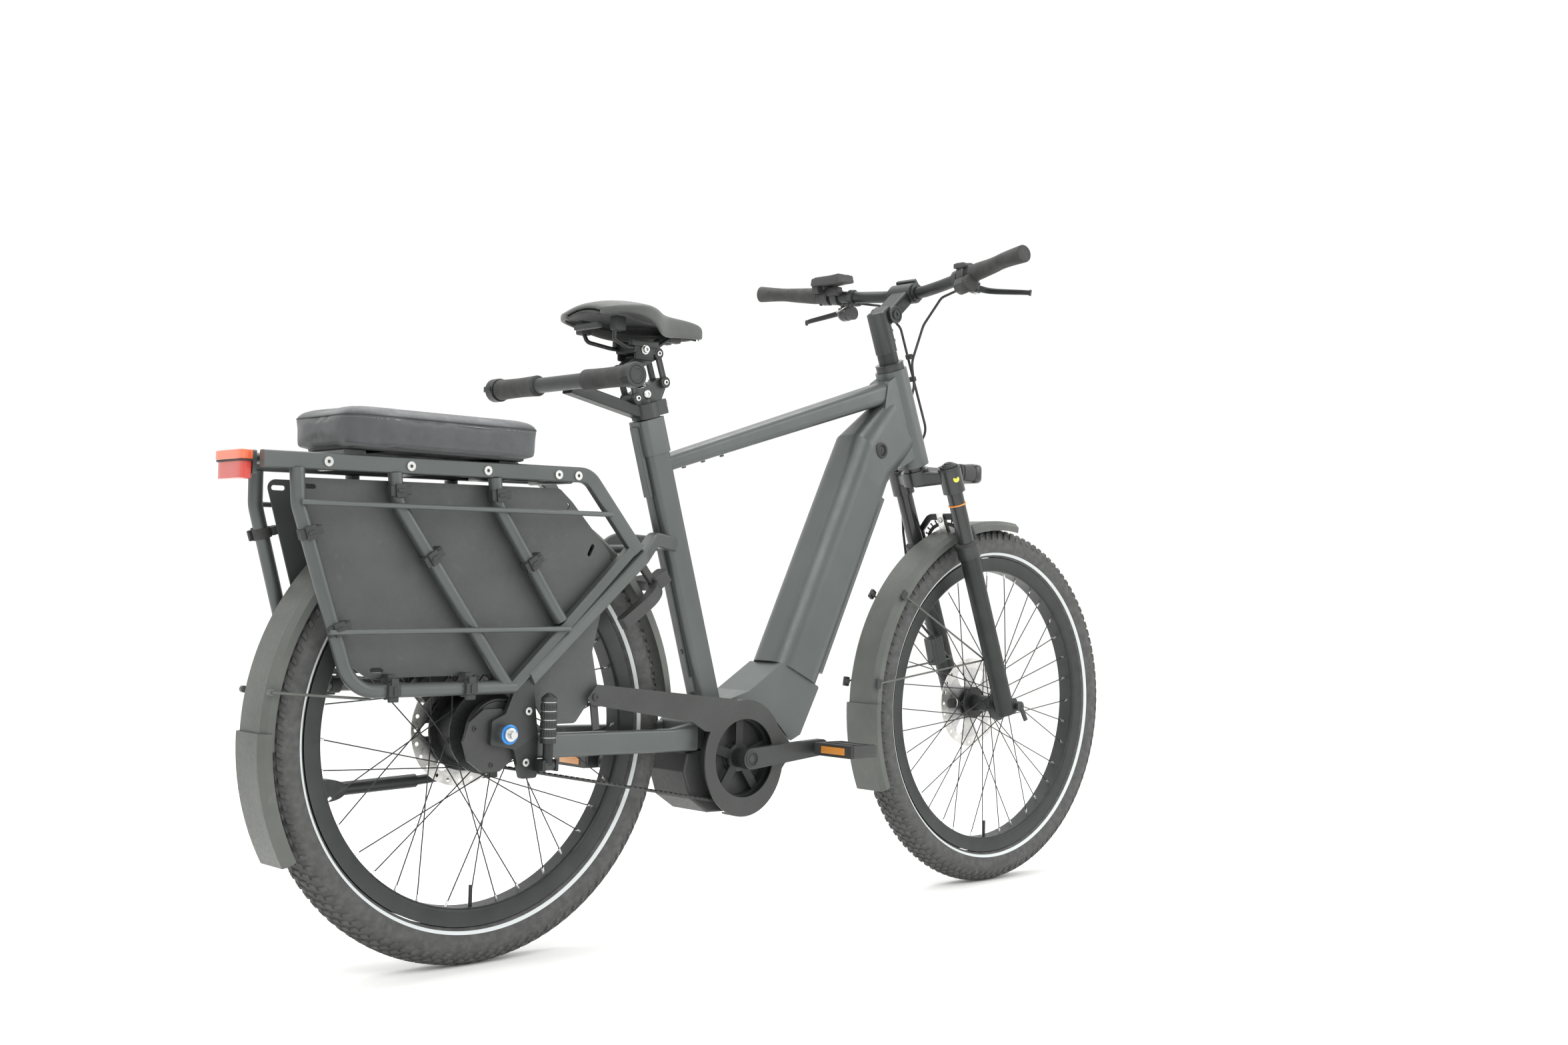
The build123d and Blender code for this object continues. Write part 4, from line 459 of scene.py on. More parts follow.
THREAD = rubbery("stitch_thread", (0.20, 0.205, 0.20), rough=0.8, depth=0.0001)
GRIT = rubbery("grip_tape", (0.045, 0.045, 0.045), rough=0.9, depth=0.0008)


def dress(node, material):
    """Gives a CAD node that stays in view its procedural material."""
    if not NODES[node].material_slots:
        NODES[node].data.materials.append(material)
    for held in NODES[node].material_slots:
        held.material = material


for part in frame["record"]["subparts"]:
    name = part["material_slot"]
    if name in MATERIALS:
        dress(part["node"], MATERIALS[name])
for wheel_end, wheel_axle in (("front", FRONT_AXLE), ("rear", REAR_AXLE)):
    dress(wheel_end + "_spokes", spoke_metal(wheel_end + "_spoke_metal", wheel_axle, NIPPLE_START))
    dress(wheel_end + "_rotor", rotor_steel(wheel_end + "_rotor_steel", wheel_axle))
dress("seat_spring", MATERIALS["steel"])
for fender in ("front_mudguard", "rear_mudguard"):
    dress(fender, FENDER)
dress("drop_outs", MATERIALS["black_alloy"])


# ------------------------------------------------------------------ more places
AHEAD, LEFT, UP = Vector((1, 0, 0)), Vector((0, 1, 0)), Vector((0, 0, 1))
SEAT_ANGLE = radians(73.2)
SEAT_UP = Vector((-cos(SEAT_ANGLE), 0, sin(SEAT_ANGLE)))
SEAT_AHEAD = Vector((sin(SEAT_ANGLE), 0, cos(SEAT_ANGLE)))
RAIL_HALF, RAIL_HEIGHT, RACK_FLARE, RACK_TUBE = 0.060, 0.752, 0.061, 0.0105
LEG_AHEAD, LEG_HALF = 0.026, 0.066
BAR_CENTRE = steer(0.830, 0.090)
SIDES = ((-1, "right"), (1, "left"))
LEVEL_AXES = (AHEAD, LEFT, UP)
CROSS_AXES = (LEFT, AHEAD, UP)
FACING_AXES = (LEFT, UP, AHEAD)
STEER_AXES = (LEFT, STEER_AHEAD, STEER_UP)


def seat(along, ahead=0.0, side=0.0):
    """A point by its distance up the seat tube from the bottom bracket, ahead of it and to its left."""
    return CRANK_AXLE + SEAT_UP * along + SEAT_AHEAD * ahead + LEFT * side


def rack(from_rear_axle, height, outward, side):
    """A point of a rack side, which flares outward below its rail."""
    half = RAIL_HALF + (RAIL_HEIGHT - height) * RACK_FLARE + outward
    return Vector((REAR_AXLE.x + from_rear_axle, side * half, height))


def on_bar(side, from_end):
    """A point on the handlebar's straight outer run, by its distance from the bar's end."""
    end = BAR_CENTRE + Vector((-0.063, side * 0.333, 0.027))
    inner = BAR_CENTRE + Vector((-0.014, side * 0.104, 0.003))
    return end + (inner - end).normalized() * from_end


def upward(direction):
    return direction if direction.z > 0 else -direction


def bar_outward(side):
    return (on_bar(side, 0) - on_bar(side, 0.1)).normalized()


# ------------------------------------------------------------------ mesh making
def smooth_line(points, steps=8):
    """A Catmull-Rom line through the given points."""
    points = [Vector(p) for p in points]
    padded = [points[0] * 2 - points[1], *points, points[-1] * 2 - points[-2]]
    line = []
    for a, b, c, d in zip(padded, padded[1:], padded[2:], padded[3:]):
        for step in range(steps):
            t = step / steps
            line.append(
                0.5 * (2 * b + (c - a) * t + (2 * a - 5 * b + 4 * c - d) * t * t
                       + (3 * b - a - 3 * c + d) * t ** 3)
            )
    return line + [points[-1]]


def oval(centre, u, v, half_u, half_v, power=2.0, count=24):
    """Points round an ellipse, or round a soft rectangle when the power is over 2."""
    points = []
    for step in range(count):
        turn = 2 * pi * step / count
        c, s = cos(turn), sin(turn)
        across = (abs(c) ** (2 / power)) * (1 if c > 0 else -1)
        along = (abs(s) ** (2 / power)) * (1 if s > 0 else -1)
        points.append(centre + u * (half_u * across) + v * (half_v * along))
    return points


CREASE = 38  # degrees over which an edge is drawn sharp


def stack(x, half_x, half_y, levels, power, count, base=0.0):
    """Level soft rectangles, one for each (height, shrink) pair, for a skin."""
    return [
        oval(Vector((x, 0, base + height)), AHEAD, LEFT, half_x - shrink, half_y - shrink, power, count)
        for height, shrink in levels
    ]


class Form:
    """One piece's mesh, gathered shape by shape in the row frame."""

    def __init__(self):
        self.mesh = bmesh.new()

    def skin(self, rings, looped=False, open_rings=False):
        """Quads between rows of points: capped at the ends, looped back to the first row, or left open."""
        rows = [[self.mesh.verts.new(p) for p in points] for points in rings]
        pairs = list(zip(rows, rows[1:]))
        if looped:
            pairs.append((rows[-1], rows[0]))
        for a, b in pairs:
            for i in range(len(a) - 1 if open_rings else len(a)):
                j = (i + 1) % len(a)
                self.mesh.faces.new((a[i], a[j], b[j], b[i]))
        if not looped and not open_rings:
            self.mesh.faces.new(list(reversed(rows[0])))
            self.mesh.faces.new(rows[-1])
        return self

    def turned(self, place, axis, profile, count=28, looped=False):
        """A turned shape, from (distance along the axis, radius) points."""
        axis = Vector(axis).normalized()
        u = axis.orthogonal().normalized()
        v = axis.cross(u)
        rings = [oval(place + axis * along, u, v, radius, radius, count=count) for along, radius in profile]
        return self.skin(rings, looped=looped)

    def tube(self, points, radius, count=12, looped=False):
        """A round bar along a line of points; the radius is one number or one for each point."""
        radii = radius if isinstance(radius, (list, tuple)) else [radius] * len(points)
        rings = []
        u = None
        for i, point in enumerate(points):
            before = points[i - 1] if i or looped else point
            after = points[(i + 1) % len(points)] if i + 1 < len(points) or looped else point
            run = (after - before).normalized()
            u = run.orthogonal().normalized() if u is None else (u - run * u.dot(run)).normalized()
            rings.append(oval(point, u, run.cross(u), radii[i], radii[i], count=count))
        return self.skin(rings, looped=looped)

    def block(self, centre, axes, size, bevel=0.0015, taper=1.0):
        """A chamfered block: half of its size lies each way along its three axes; its top may taper."""
        u, v, w = (Vector(axis) for axis in axes)
        made = bmesh.new()
        corners = []
        for k in (-1, 1):
            grow = taper if k > 0 else 1.0
            for i, j in ((-1, -1), (1, -1), (1, 1), (-1, 1)):
                level = centre + w * (k * size[2] / 2)
                corners.append(made.verts.new(
                    level + u * (i * size[0] / 2 * grow) + v * (j * size[1] / 2 * grow)
                ))
        made.faces.new(corners[3::-1])
        made.faces.new(corners[4:])
        for i in range(4):
            j = (i + 1) % 4
            made.faces.new((corners[i], corners[j], corners[4 + j], corners[4 + i]))
        bmesh.ops.bevel(made, geom=made.edges[:], offset=bevel, segments=2, profile=0.6, affect="EDGES")
        self.absorb(made)
        return self

    def absorb(self, other):
        held = bpy.data.meshes.new("held")
        other.to_mesh(held)
        other.free()
        self.mesh.from_mesh(held)
        bpy.data.meshes.remove(held)

    def bolt(self, place, axis, radius, height):
        """A button head with a socket."""
        return self.turned(place, axis, [
            (0, radius), (height * 0.55, radius), (height * 0.9, radius * 0.86), (height, radius * 0.7),
            (height, radius * 0.46), (height * 0.35, radius * 0.44),
        ], count=20)

    def knurled(self, place, axis, radius, height, teeth):
        """A gripped rim, with one ridge for each tooth."""
        axis = Vector(axis).normalized()
        u = axis.orthogonal().normalized()
        v = axis.cross(u)
        rings = []
        for rise, share in ((0, 0.94), (0.15, 1.0), (0.85, 1.0), (1, 0.94), (1, 0.5)):
            points = []
            for step in range(teeth * 4):
                turn = 2 * pi * step / (teeth * 4)
                reach = radius * share * (1.0 if step % 4 < 2 else 0.94)
                ridge = u * (reach * cos(turn)) + v * (reach * sin(turn))
                points.append(place + axis * (height * rise) + ridge)
            rings.append(points)
        return self.skin(rings)

    def piece(self, name, body, slot, material=None, sharp=CREASE):
        """Makes the object and puts it on its body; its finish is its slot's own, unless another is given."""
        bmesh.ops.recalc_face_normals(self.mesh, faces=self.mesh.faces[:])
        mesh = bpy.data.meshes.new(name)
        self.mesh.to_mesh(mesh)
        self.mesh.free()
        for face in mesh.polygons:
            face.use_smooth = True
        mesh.set_sharp_from_angle(angle=radians(sharp))
        made = bpy.data.objects.new(name, mesh)
        bpy.context.scene.collection.objects.link(made)
        mesh.materials.append(material or MATERIALS[slot])
        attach(made, body)
        return made


# ------------------------------------------------------------------ tyres
def tyre(name, axle, body):
    """A casing with a knobbly tread: centre, middle and shoulder blocks, each row offset from the next."""
    middle = TYRE_RADIUS - TYRE_HALF_WIDTH
    casing = TYRE_HALF_WIDTH - 0.0026
    lining = casing - 0.0030
    bead = radians(148)
    section = [(casing, bead * (2 * i / 26 - 1)) for i in range(27)]
    section += [(lining, bead * (1 - 2 * i / 14)) for i in range(15)]
    rings = []
    for step in range(144):
        turn = 2 * pi * step / 144
        out = Vector((cos(turn), 0, sin(turn)))
        rings.append([
            axle + out * (middle + radius * cos(lean)) + LEFT * (radius * sin(lean))
            for radius, lean in section
        ])
    form = Form().skin(rings, looped=True)
    rows = (
        # lean in degrees, blocks round the tyre, offset, length, width
        (7, 112, 0.0, 0.0110, 0.0064), (-7, 112, 0.5, 0.0110, 0.0064),
        (23, 112, 0.5, 0.0096, 0.0070), (-23, 112, 0.0, 0.0096, 0.0070),
        (40, 112, 0.0, 0.0104, 0.0066), (-40, 112, 0.5, 0.0104, 0.0066),
        (59, 112, 0.5, 0.0076, 0.0090), (-59, 112, 0.0, 0.0076, 0.0090),
    )
    for lean_degrees, count, offset, length, width in rows:
        lean = radians(lean_degrees)
        for index in range(count):
            turn = 2 * pi * (index + offset) / count
            out = Vector((cos(turn), 0, sin(turn)))
            along = Vector((-sin(turn), 0, cos(turn)))
            normal = out * cos(lean) + LEFT * sin(lean)
            across = LEFT * cos(lean) - out * sin(lean)
            root = axle + out * middle
            skew = 0.0022 * (1 if lean > 0 else -1)
            foot, top = casing - 0.0012, TYRE_HALF_WIDTH - 0.0001
            levels = []
            for reach, share in ((foot, 1.12), (top - 0.0006, 0.96), (top, 0.84)):
                levels.append([
                    root + normal * reach + along * (i * length / 2 * share + j * skew)
                    + across * (j * width / 2 * share)
                    for i, j in ((-1, -1), (1, -1), (1, 1), (-1, 1))
                ])
            form.skin(levels)
    made = form.piece(name + "_tread", body, "tyre", tyre_rubber(name + "_rubber", axle), sharp=30)
    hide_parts(name)


tyre("front_tyre", FRONT_AXLE, "front_wheel")
tyre("rear_tyre", REAR_AXLE, "rear_wheel")


# ------------------------------------------------------------------ padded pieces
def inflate(piece, pressure, cap, voxel, frames=20):
    """Swells a closed cover like stuffed cloth; no point moves further than the cap."""
    bpy.context.view_layer.objects.active = piece
    remesh = piece.modifiers.new("cloth_grid", "REMESH")
    remesh.mode = "VOXEL"
    remesh.voxel_size = voxel
    bpy.ops.object.modifier_apply(modifier=remesh.name)
    rest = [v.co.copy() for v in piece.data.vertices]
    cloth = piece.modifiers.new("stuffing", "CLOTH")
    cloth.settings.use_pressure = True
    cloth.settings.uniform_pressure_force = pressure
    cloth.settings.effector_weights.gravity = 0
    cloth.settings.quality = 4
    for frame_number in range(1, frames + 1):
        bpy.context.scene.frame_set(frame_number)
    bpy.ops.object.modifier_apply(modifier=cloth.name)
    bpy.context.scene.frame_set(1)
    for vertex, home in zip(piece.data.vertices, rest):
        moved = vertex.co - home
        if moved.length > cap:
            vertex.co = home + moved.normalized() * cap
    for face in piece.data.polygons:
        face.use_smooth = True
    smoother = piece.modifiers.new("smooth", "SUBSURF")
    smoother.levels = smoother.render_levels = 1
    bpy.ops.object.modifier_apply(modifier=smoother.name)


def outline_on(piece, centre, height, half_x, half_y):
    """The piece's outline at a height: where rays from outside first meet it."""
    tree = BVHTree.FromObject(piece, bpy.context.evaluated_depsgraph_get())
    middle = Vector((centre.x, centre.y, height))
    points = []
    for guide in oval(middle, AHEAD, LEFT, half_x, half_y, CUSHION_SQUARENESS, 240):
        inward = (middle - guide).normalized()
        hit = tree.ray_cast(guide - inward * 0.05, inward)[0]
        points.append(hit if hit else guide)
    return points


CUSHION_SQUARENESS = 11.0


def passenger_cushion():
    """The passenger pad: a stuffed coated cover with a piped top seam, on a moulded board."""
    low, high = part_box("passenger_cushion")
    centre = (low + high) / 2
    half_x, half_y = (high.x - low.x) / 2 - 0.002, (high.y - low.y) / 2 - 0.002
    seam = high.z - 0.0125
    levels = (
        # height, shrink at that height
        (low.z + 0.003, 0.0055), (low.z + 0.005, 0.002), (low.z + 0.012, 0.0015), (seam - 0.016, 0.0012),
        (seam, 0.0), (high.z - 0.007, 0.0030), (high.z - 0.0025, 0.010), (high.z - 0.0010, 0.026),
    )
    rings = stack(centre.x, half_x, half_y, levels, CUSHION_SQUARENESS, 120)
    pad = Form().skin(rings).piece("cushion_pad", "frame", "cushion")
    pad.parent = None
    inflate(pad, 2.0, 0.0028, voxel=0.004)
    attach(pad, "frame")
    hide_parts("passenger_cushion")
    line = outline_on(pad, centre, seam, half_x, half_y)
    Form().tube(line, 0.0011, count=8, looped=True).piece("cushion_piping", "frame", "cushion", DULL_BLACK)
    stitches = Form()
    lower = outline_on(pad, centre, seam - 0.0042, half_x, half_y)
    for a, b in zip(lower[::2], lower[1::2]):
        reach = (b - a) * 0.36
        middle = (a + b) / 2
        stitches.tube([middle - reach, middle, middle + reach], [0.0003, 0.00055, 0.0003], count=6)
    stitches.piece("cushion_stitches", "frame", "cushion", THREAD)
    board_levels = (-0.0026, 0.018), (-0.0018, 0.0155), (0.0030, 0.0145), (0.0045, 0.0155)
    board = Form().skin(stack(centre.x, half_x, half_y, board_levels, CUSHION_SQUARENESS, 64, low.z))
    for place in (-0.11, 0.11):
        board.block(
            Vector((centre.x + place, 0, low.z - 0.0012)), LEVEL_AXES, (0.052, 0.110, 0.0028), 0.0008
        )
    board.piece("cushion_board", "frame", "black_plastic", DULL_BLACK)


BELL_BASE = 2.718
WING = 0.62  # the share of a half width that lies on top; the rest bends down into the skirt
SADDLE_STATIONS = (
    # share of the length from the rear, half width, top below the CAD top, skirt depth (m)
    (0.00, 0.044, 0.006, 0.018), (0.05, 0.080, -0.002, 0.024), (0.14, 0.101, -0.007, 0.030),
    (0.26, 0.104, -0.008, 0.036), (0.37, 0.092, -0.005, 0.044), (0.47, 0.070, 0.000, 0.047),
    (0.58, 0.050, 0.003, 0.044), (0.70, 0.039, 0.004, 0.038), (0.82, 0.033, 0.005, 0.034),
    (0.92, 0.027, 0.008, 0.030), (0.975, 0.020, 0.013, 0.023), (1.00, 0.011, 0.021, 0.012),
)


def saddle_sheet(narrower, lower, depth_share):
    """The saddle's top surface: crowned wings, a sunk channel down the middle and skirts at the sides."""
    low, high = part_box("saddle")
    rows = []
    for share, half, drop, depth in SADDLE_STATIONS:
        half = max(half - narrower, 0.004)
        x = low.x + (high.x - low.x) * share
        crown = min(0.012, 0.14 * half)
        channel = 0.006 * max(0.0, sin(pi * min(1.0, max(0.0, (share - 0.08) / 0.78))))
        row = []
        for column in range(27):
            t = 2 * column / 26 - 1
            side, reach = (1 if t > 0 else -1), abs(t)
            if reach <= WING:
                y = half * 0.88 * reach / WING
                z = -crown * (reach / WING) ** 2 - channel * BELL_BASE ** (-((y / 0.011) ** 2))
            else:
                bend = (reach - WING) / 0.38
                y = half * (0.88 + 0.12 * sin(min(1.0, bend * 1.5) * pi / 2) - 0.05 * max(0, bend - 0.6))
                z = -crown - (depth * depth_share - crown) * (1 - cos(bend * pi / 2))
            row.append(Vector((x, side * y, high.z - drop - lower + z)))
        rows.append(row)
    return Form().skin(rows, open_rings=True)


def thicken(sheet, name, thickness):
    """Gives a sheet a wall below its surface and rounds it."""
    wall = sheet.modifiers.new(name, "SOLIDIFY")
    wall.thickness = thickness
    wall.offset = -1
    rounder = sheet.modifiers.new("smooth", "SUBSURF")
    rounder.levels = rounder.render_levels = 2


def saddle():
    """A touring saddle: a padded cover with a channel, over a moulded shell with sockets for the rails."""
    cover = saddle_sheet(0.0, 0.0, 1.0).piece("saddle_cover", "saddle_head", "saddle", sharp=180)
    thicken(cover, "padding", 0.0075)
    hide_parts("saddle")
    pan = saddle_sheet(0.010, 0.009, 0.55).piece(
        "saddle_shell", "saddle_head", "black_plastic", DULL_BLACK, sharp=180
    )
    thicken(pan, "wall", 0.003)
    low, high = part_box("saddle")
    sockets = Form()
    for side in (-1, 1):
        sockets.block(Vector((low.x + 0.040, side * 0.046, 1.012)), LEVEL_AXES, (0.022, 0.018, 0.024), 0.004)
        sockets.block(Vector((high.x - 0.066, side * 0.012, 1.006)), LEVEL_AXES, (0.026, 0.014, 0.016), 0.004)
    sockets.block(Vector((low.x + 0.014, 0, high.z - 0.038)), LEVEL_AXES, (0.012, 0.066, 0.010), 0.004)
    sockets.piece("saddle_sockets", "saddle_head", "black_plastic", DULL_BLACK)


passenger_cushion()
saddle()


# ------------------------------------------------------------------ seatpost: spring and pivot bolts
def seat_fittings():
    """The seatpost's spring, its links' eyes and bolts, the saddle clamp and the bar clamp's bolts."""
    coil = []
    bottom, top = seat(0.6475, 0.004), seat(0.6885, 0.004)
    turns, steps, coil_radius = 6.5, 150, 0.0078
    for step in range(steps + 1):
        turn = 2 * pi * turns * step / steps
        middle = bottom.lerp(top, step / steps)
        coil.append(middle + SEAT_AHEAD * (coil_radius * cos(turn)) + LEFT * (coil_radius * sin(turn)))
    spring = Form().tube(coil, 0.0013, count=10).piece("seat_coil", "frame", "steel", MATERIALS["bolt_steel"])
    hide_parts("seat_spring")
    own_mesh(spring)
    for body, along, ahead in (("front_link", 0.652, 0.043), ("rear_link", 0.638, -0.023)):
        bolts = Form()
        eyes = Form()
        for side in (-1, 1):
            for rise, shift in ((0, 0), (0.050, -0.002)):
                place = seat(along + rise, ahead + shift, side * 0.0164)
                eyes.turned(place, LEFT * side, [
                    (0, 0.0095), (0.002, 0.0095), (0.0028, 0.0086), (0.0028, 0.0056),
                ])
                bolts.bolt(place + LEFT * (side * 0.0016), LEFT * side, 0.0052, 0.0030)
        eyes.piece(body + "_eyes", body, "black_alloy")
        bolts.piece(body + "_bolts", body, "bolt_steel")
    clamp = Form()
    clamp_place = Vector((seat(0.703, 0.010).x - 0.006, 0, 0.979))
    for side in (-1, 1):
        clamp.turned(clamp_place + LEFT * (side * 0.025), LEFT * side, [
            (0, 0.0085), (0.0016, 0.0085), (0.0024, 0.0076), (0.0024, 0.0062), (0.0052, 0.0060),
            (0.0060, 0.0054), (0.0060, 0.0030), (0.003, 0.0029),
        ])
    clamp.piece("rail_clamp_bolt", "saddle_head", "bolt_steel")
    cradle = Form()
    for side in (-1, 1):
        cheek = clamp_place + LEFT * (side * 0.0225)
        cradle.block(cheek + UP * 0.010, LEVEL_AXES, (0.058, 0.010, 0.012), 0.003)
        cradle.block(cheek - UP * 0.008, LEVEL_AXES, (0.040, 0.006, 0.020), 0.004)
    cradle.piece("rail_cradle", "saddle_head", "black_alloy")
    collar = Form()
    for height in (0.6055, 0.6185):
        for side in (-1, 1):
            collar.bolt(seat(height, 0.041, side * 0.008), SEAT_AHEAD, 0.0045, 0.0035)
    collar.piece("bar_clamp_bolts", "frame", "bolt_steel")
    post = Form()
    for side in (-1, 1):
        post.bolt(seat(0.640, 0.004, side * 0.0112), LEFT * side, 0.0075, 0.003)
    post.piece("post_adjuster", "frame", "bolt_steel")


seat_fittings()


# ------------------------------------------------------------------ grips
def handlebar_grips():
    """Ergonomic grips: a ribbed tube with a small palm wing, an end cap and a clamp ring."""
    form = Form()
    caps = Form()
    rings_form = Form()
    for side, _ in SIDES:
        out = bar_outward(side)
        back = (out * AHEAD.dot(out) - AHEAD).normalized()
        rise = upward(back.cross(out) * side)
        rows = []
        for step in range(60):
            share = step / 59
            along = -0.010 + 0.146 * share
            wing = 0.007 * max(0.0, sin(pi * min(1.0, share / 0.62))) ** 1.2
            rib = 0.0004 * (step % 2) if 0.50 < share < 0.94 else 0.0
            radius = 0.0150 + 0.0010 * cos(2 * pi * share) + rib
            centre = on_bar(side, along) + back * (wing / 2)
            squareness = 2.0 + 18 * wing
            rows.append(oval(centre, back, rise, radius + wing / 2, radius - wing * 0.16, squareness, 32))
        form.skin(rows)
        caps.turned(on_bar(side, -0.0095), out, [
            (-0.004, 0.0156), (-0.001, 0.0160), (0.0012, 0.0150), (0.0020, 0.0125), (0.0014, 0.0118),
            (0.0018, 0.004),
        ])
        rings_form.turned(on_bar(side, 0.137), -out, [
            (0, 0.0166), (0.001, 0.0172), (0.009, 0.0172), (0.010, 0.0166), (0.010, 0.0118),
        ])
        rings_form.bolt(on_bar(side, 0.142) - rise * 0.0165 + back * 0.002, -rise, 0.0036, 0.0028)
    grips = form.piece("grip_sleeves", "steering", "rubber", sharp=60)
    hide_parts("bar_grips")
    caps.piece("grip_end_caps", "steering", "black_plastic", DULL_BLACK)
    rings_form.piece("grip_clamp_rings", "steering", "black_alloy")


def passenger_grip_sleeves():
    """Foam grips on the passenger bar, each with a split collar and a ringed end cap."""
    low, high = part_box("passenger_grips")
    middle = (low + high) / 2
    radius = (high.z - low.z) / 2
    inner_end = 0.064
    form = Form()
    collars = Form()
    caps = Form()
    for side, _ in SIDES:
        rows = []
        for step in range(40):
            share = step / 39
            y = inner_end + (high.y - 0.020 - inner_end) * share
            waist = radius * (0.97 - 0.07 * sin(pi * share))
            waist *= 0.82 if step in (0, 39) else 1.0
            rows.append(oval(Vector((middle.x, side * y, middle.z)), AHEAD, UP, waist, waist, count=32))
        form.skin(rows)
        end = Vector((middle.x, side * (high.y - 0.021), middle.z))
        collars.turned(end, LEFT * side, [
            (0, 0.0125), (0, 0.0185), (0.0012, 0.0198), (0.0178, 0.0198), (0.0190, 0.0188), (0.0190, 0.0145),
            (0.0182, 0.0140),
        ])
        lug = end + LEFT * (side * 0.0095) - AHEAD * 0.018
        collars.block(lug, FACING_AXES, (0.018, 0.010, 0.010), 0.002)
        caps.turned(end + LEFT * (side * 0.0180), LEFT * side, [
            (-0.003, 0.0136), (0.001, 0.0136), (0.0022, 0.0122), (0.0022, 0.0100), (0.0014, 0.0096),
            (0.0014, 0.0030),
        ])
    grips = form.piece("passenger_sleeves", "frame", "rubber", sharp=60)
    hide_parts("passenger_grips")
    collars.piece("passenger_collars", "frame", "black_alloy")
    caps.piece("passenger_caps", "frame", "black_plastic", DULL_BLACK)


handlebar_grips()
passenger_grip_sleeves()


# ------------------------------------------------------------------ cockpit
def display():
    """The display: a wedge housing, its glass, and a thumb remote with three buttons."""
    screen = on_bar(1, 0.154)
    centre = screen + Vector((-0.016, -0.028, 0.0255))
    lean = Vector((0.996, 0, 0.09)).normalized()
    up = lean.cross(LEFT)
    axes = (LEFT, lean, up)
    shell = Form()
    shell.block(centre + up * 0.0005, axes, (0.080, 0.048, 0.0165), 0.0045, taper=0.93)
    shell.block(centre + LEFT * 0.034 - up * 0.012, axes, (0.018, 0.034, 0.020), 0.005)
    shell.block(screen + Vector((-0.004, 0.006, 0.014)), CROSS_AXES, (0.022, 0.026, 0.016), 0.004)
    shell.turned(screen + LEFT * -0.009, LEFT, [
        (0, 0.0165), (0.001, 0.0178), (0.017, 0.0178), (0.018, 0.0165),
    ])
    shell.piece("display_housing", "steering", "black_plastic")
    Form().block(centre + up * 0.0092, axes, (0.064, 0.036, 0.0016), 0.0006).piece(
        "display_glass", "steering", "black_plastic", GLASS
    )
    buttons = Form()
    remote = on_bar(1, 0.176)
    for index, place in enumerate((-0.012, 0.0, 0.012)):
        lift = 0.0045 if index == 1 else 0.0035
        buttons.block(
            remote + Vector((-0.017, place, 0.010)), (LEFT, UP, -AHEAD), (0.010, 0.009, lift), 0.0016
        )
    buttons.piece("remote_buttons", "steering", "rubber", DULL_BLACK)
    pad = Form().block(remote + Vector((-0.012, 0, 0.008)), FACING_AXES, (0.042, 0.018, 0.016), 0.004)
    pad.piece("remote_body", "steering", "black_plastic")


def bell():
    """A small dome bell under the bar, with its striker."""
    place = on_bar(1, 0.214) + Vector((-0.008, 0.013, -0.034))
    radius = 0.0145
    dome = [(radius * sin(pi / 2 * k / 10), radius * cos(pi / 2 * k / 10)) for k in range(10)]
    Form().turned(place, LEFT, [
        (-0.0110, 0.0128), (-0.0098, 0.0140), (-0.0060, 0.0140), (-0.0052, 0.0133), (0, radius), *dome[1:],
    ]).piece("bell_dome", "steering", "black_alloy", MATERIALS["gloss_black"])
    striker = Form().tube(smooth_line([
        place + Vector((0.004, -0.012, 0.010)), place + Vector((-0.010, -0.013, 0.012)),
        place + Vector((-0.019, -0.008, 0.006)), place + Vector((-0.020, 0.004, 0.002)),
    ]), 0.0011, count=8)
    striker.piece("bell_striker", "steering", "bolt_steel")


def shifter():
    """The shift controller: a faceted drum with a ribbed thumb ring and a window."""
    place = on_bar(-1, 0.152) + Vector((-0.012, 0, -0.020))
    out = bar_outward(-1)
    drum = Form().turned(place - out * 0.012, out, [
        (-0.002, 0.0120), (0, 0.0150), (0.006, 0.0168), (0.020, 0.0168), (0.026, 0.0150), (0.028, 0.0110),
    ], count=8)
    drum.turned(on_bar(-1, 0.152) - out * 0.010, out, [
        (0, 0.0205), (0.002, 0.0230), (0.018, 0.0230), (0.020, 0.0205),
    ], count=10)
    drum.block(on_bar(-1, 0.152) + Vector((-0.012, 0.004, 0.016)), CROSS_AXES, (0.026, 0.022, 0.010), 0.003)
    drum.piece("shifter_drum", "steering", "black_plastic")
    Form().knurled(place + out * 0.013, out, 0.0158, 0.012, 22).piece(
        "shifter_ring", "steering", "rubber"
    )
    Form().block(
        on_bar(-1, 0.152) + Vector((-0.0165, 0.003, 0.0205)), CROSS_AXES, (0.018, 0.010, 0.0020), 0.0006
    ).piece("shifter_window", "steering", "black_plastic", GLASS)


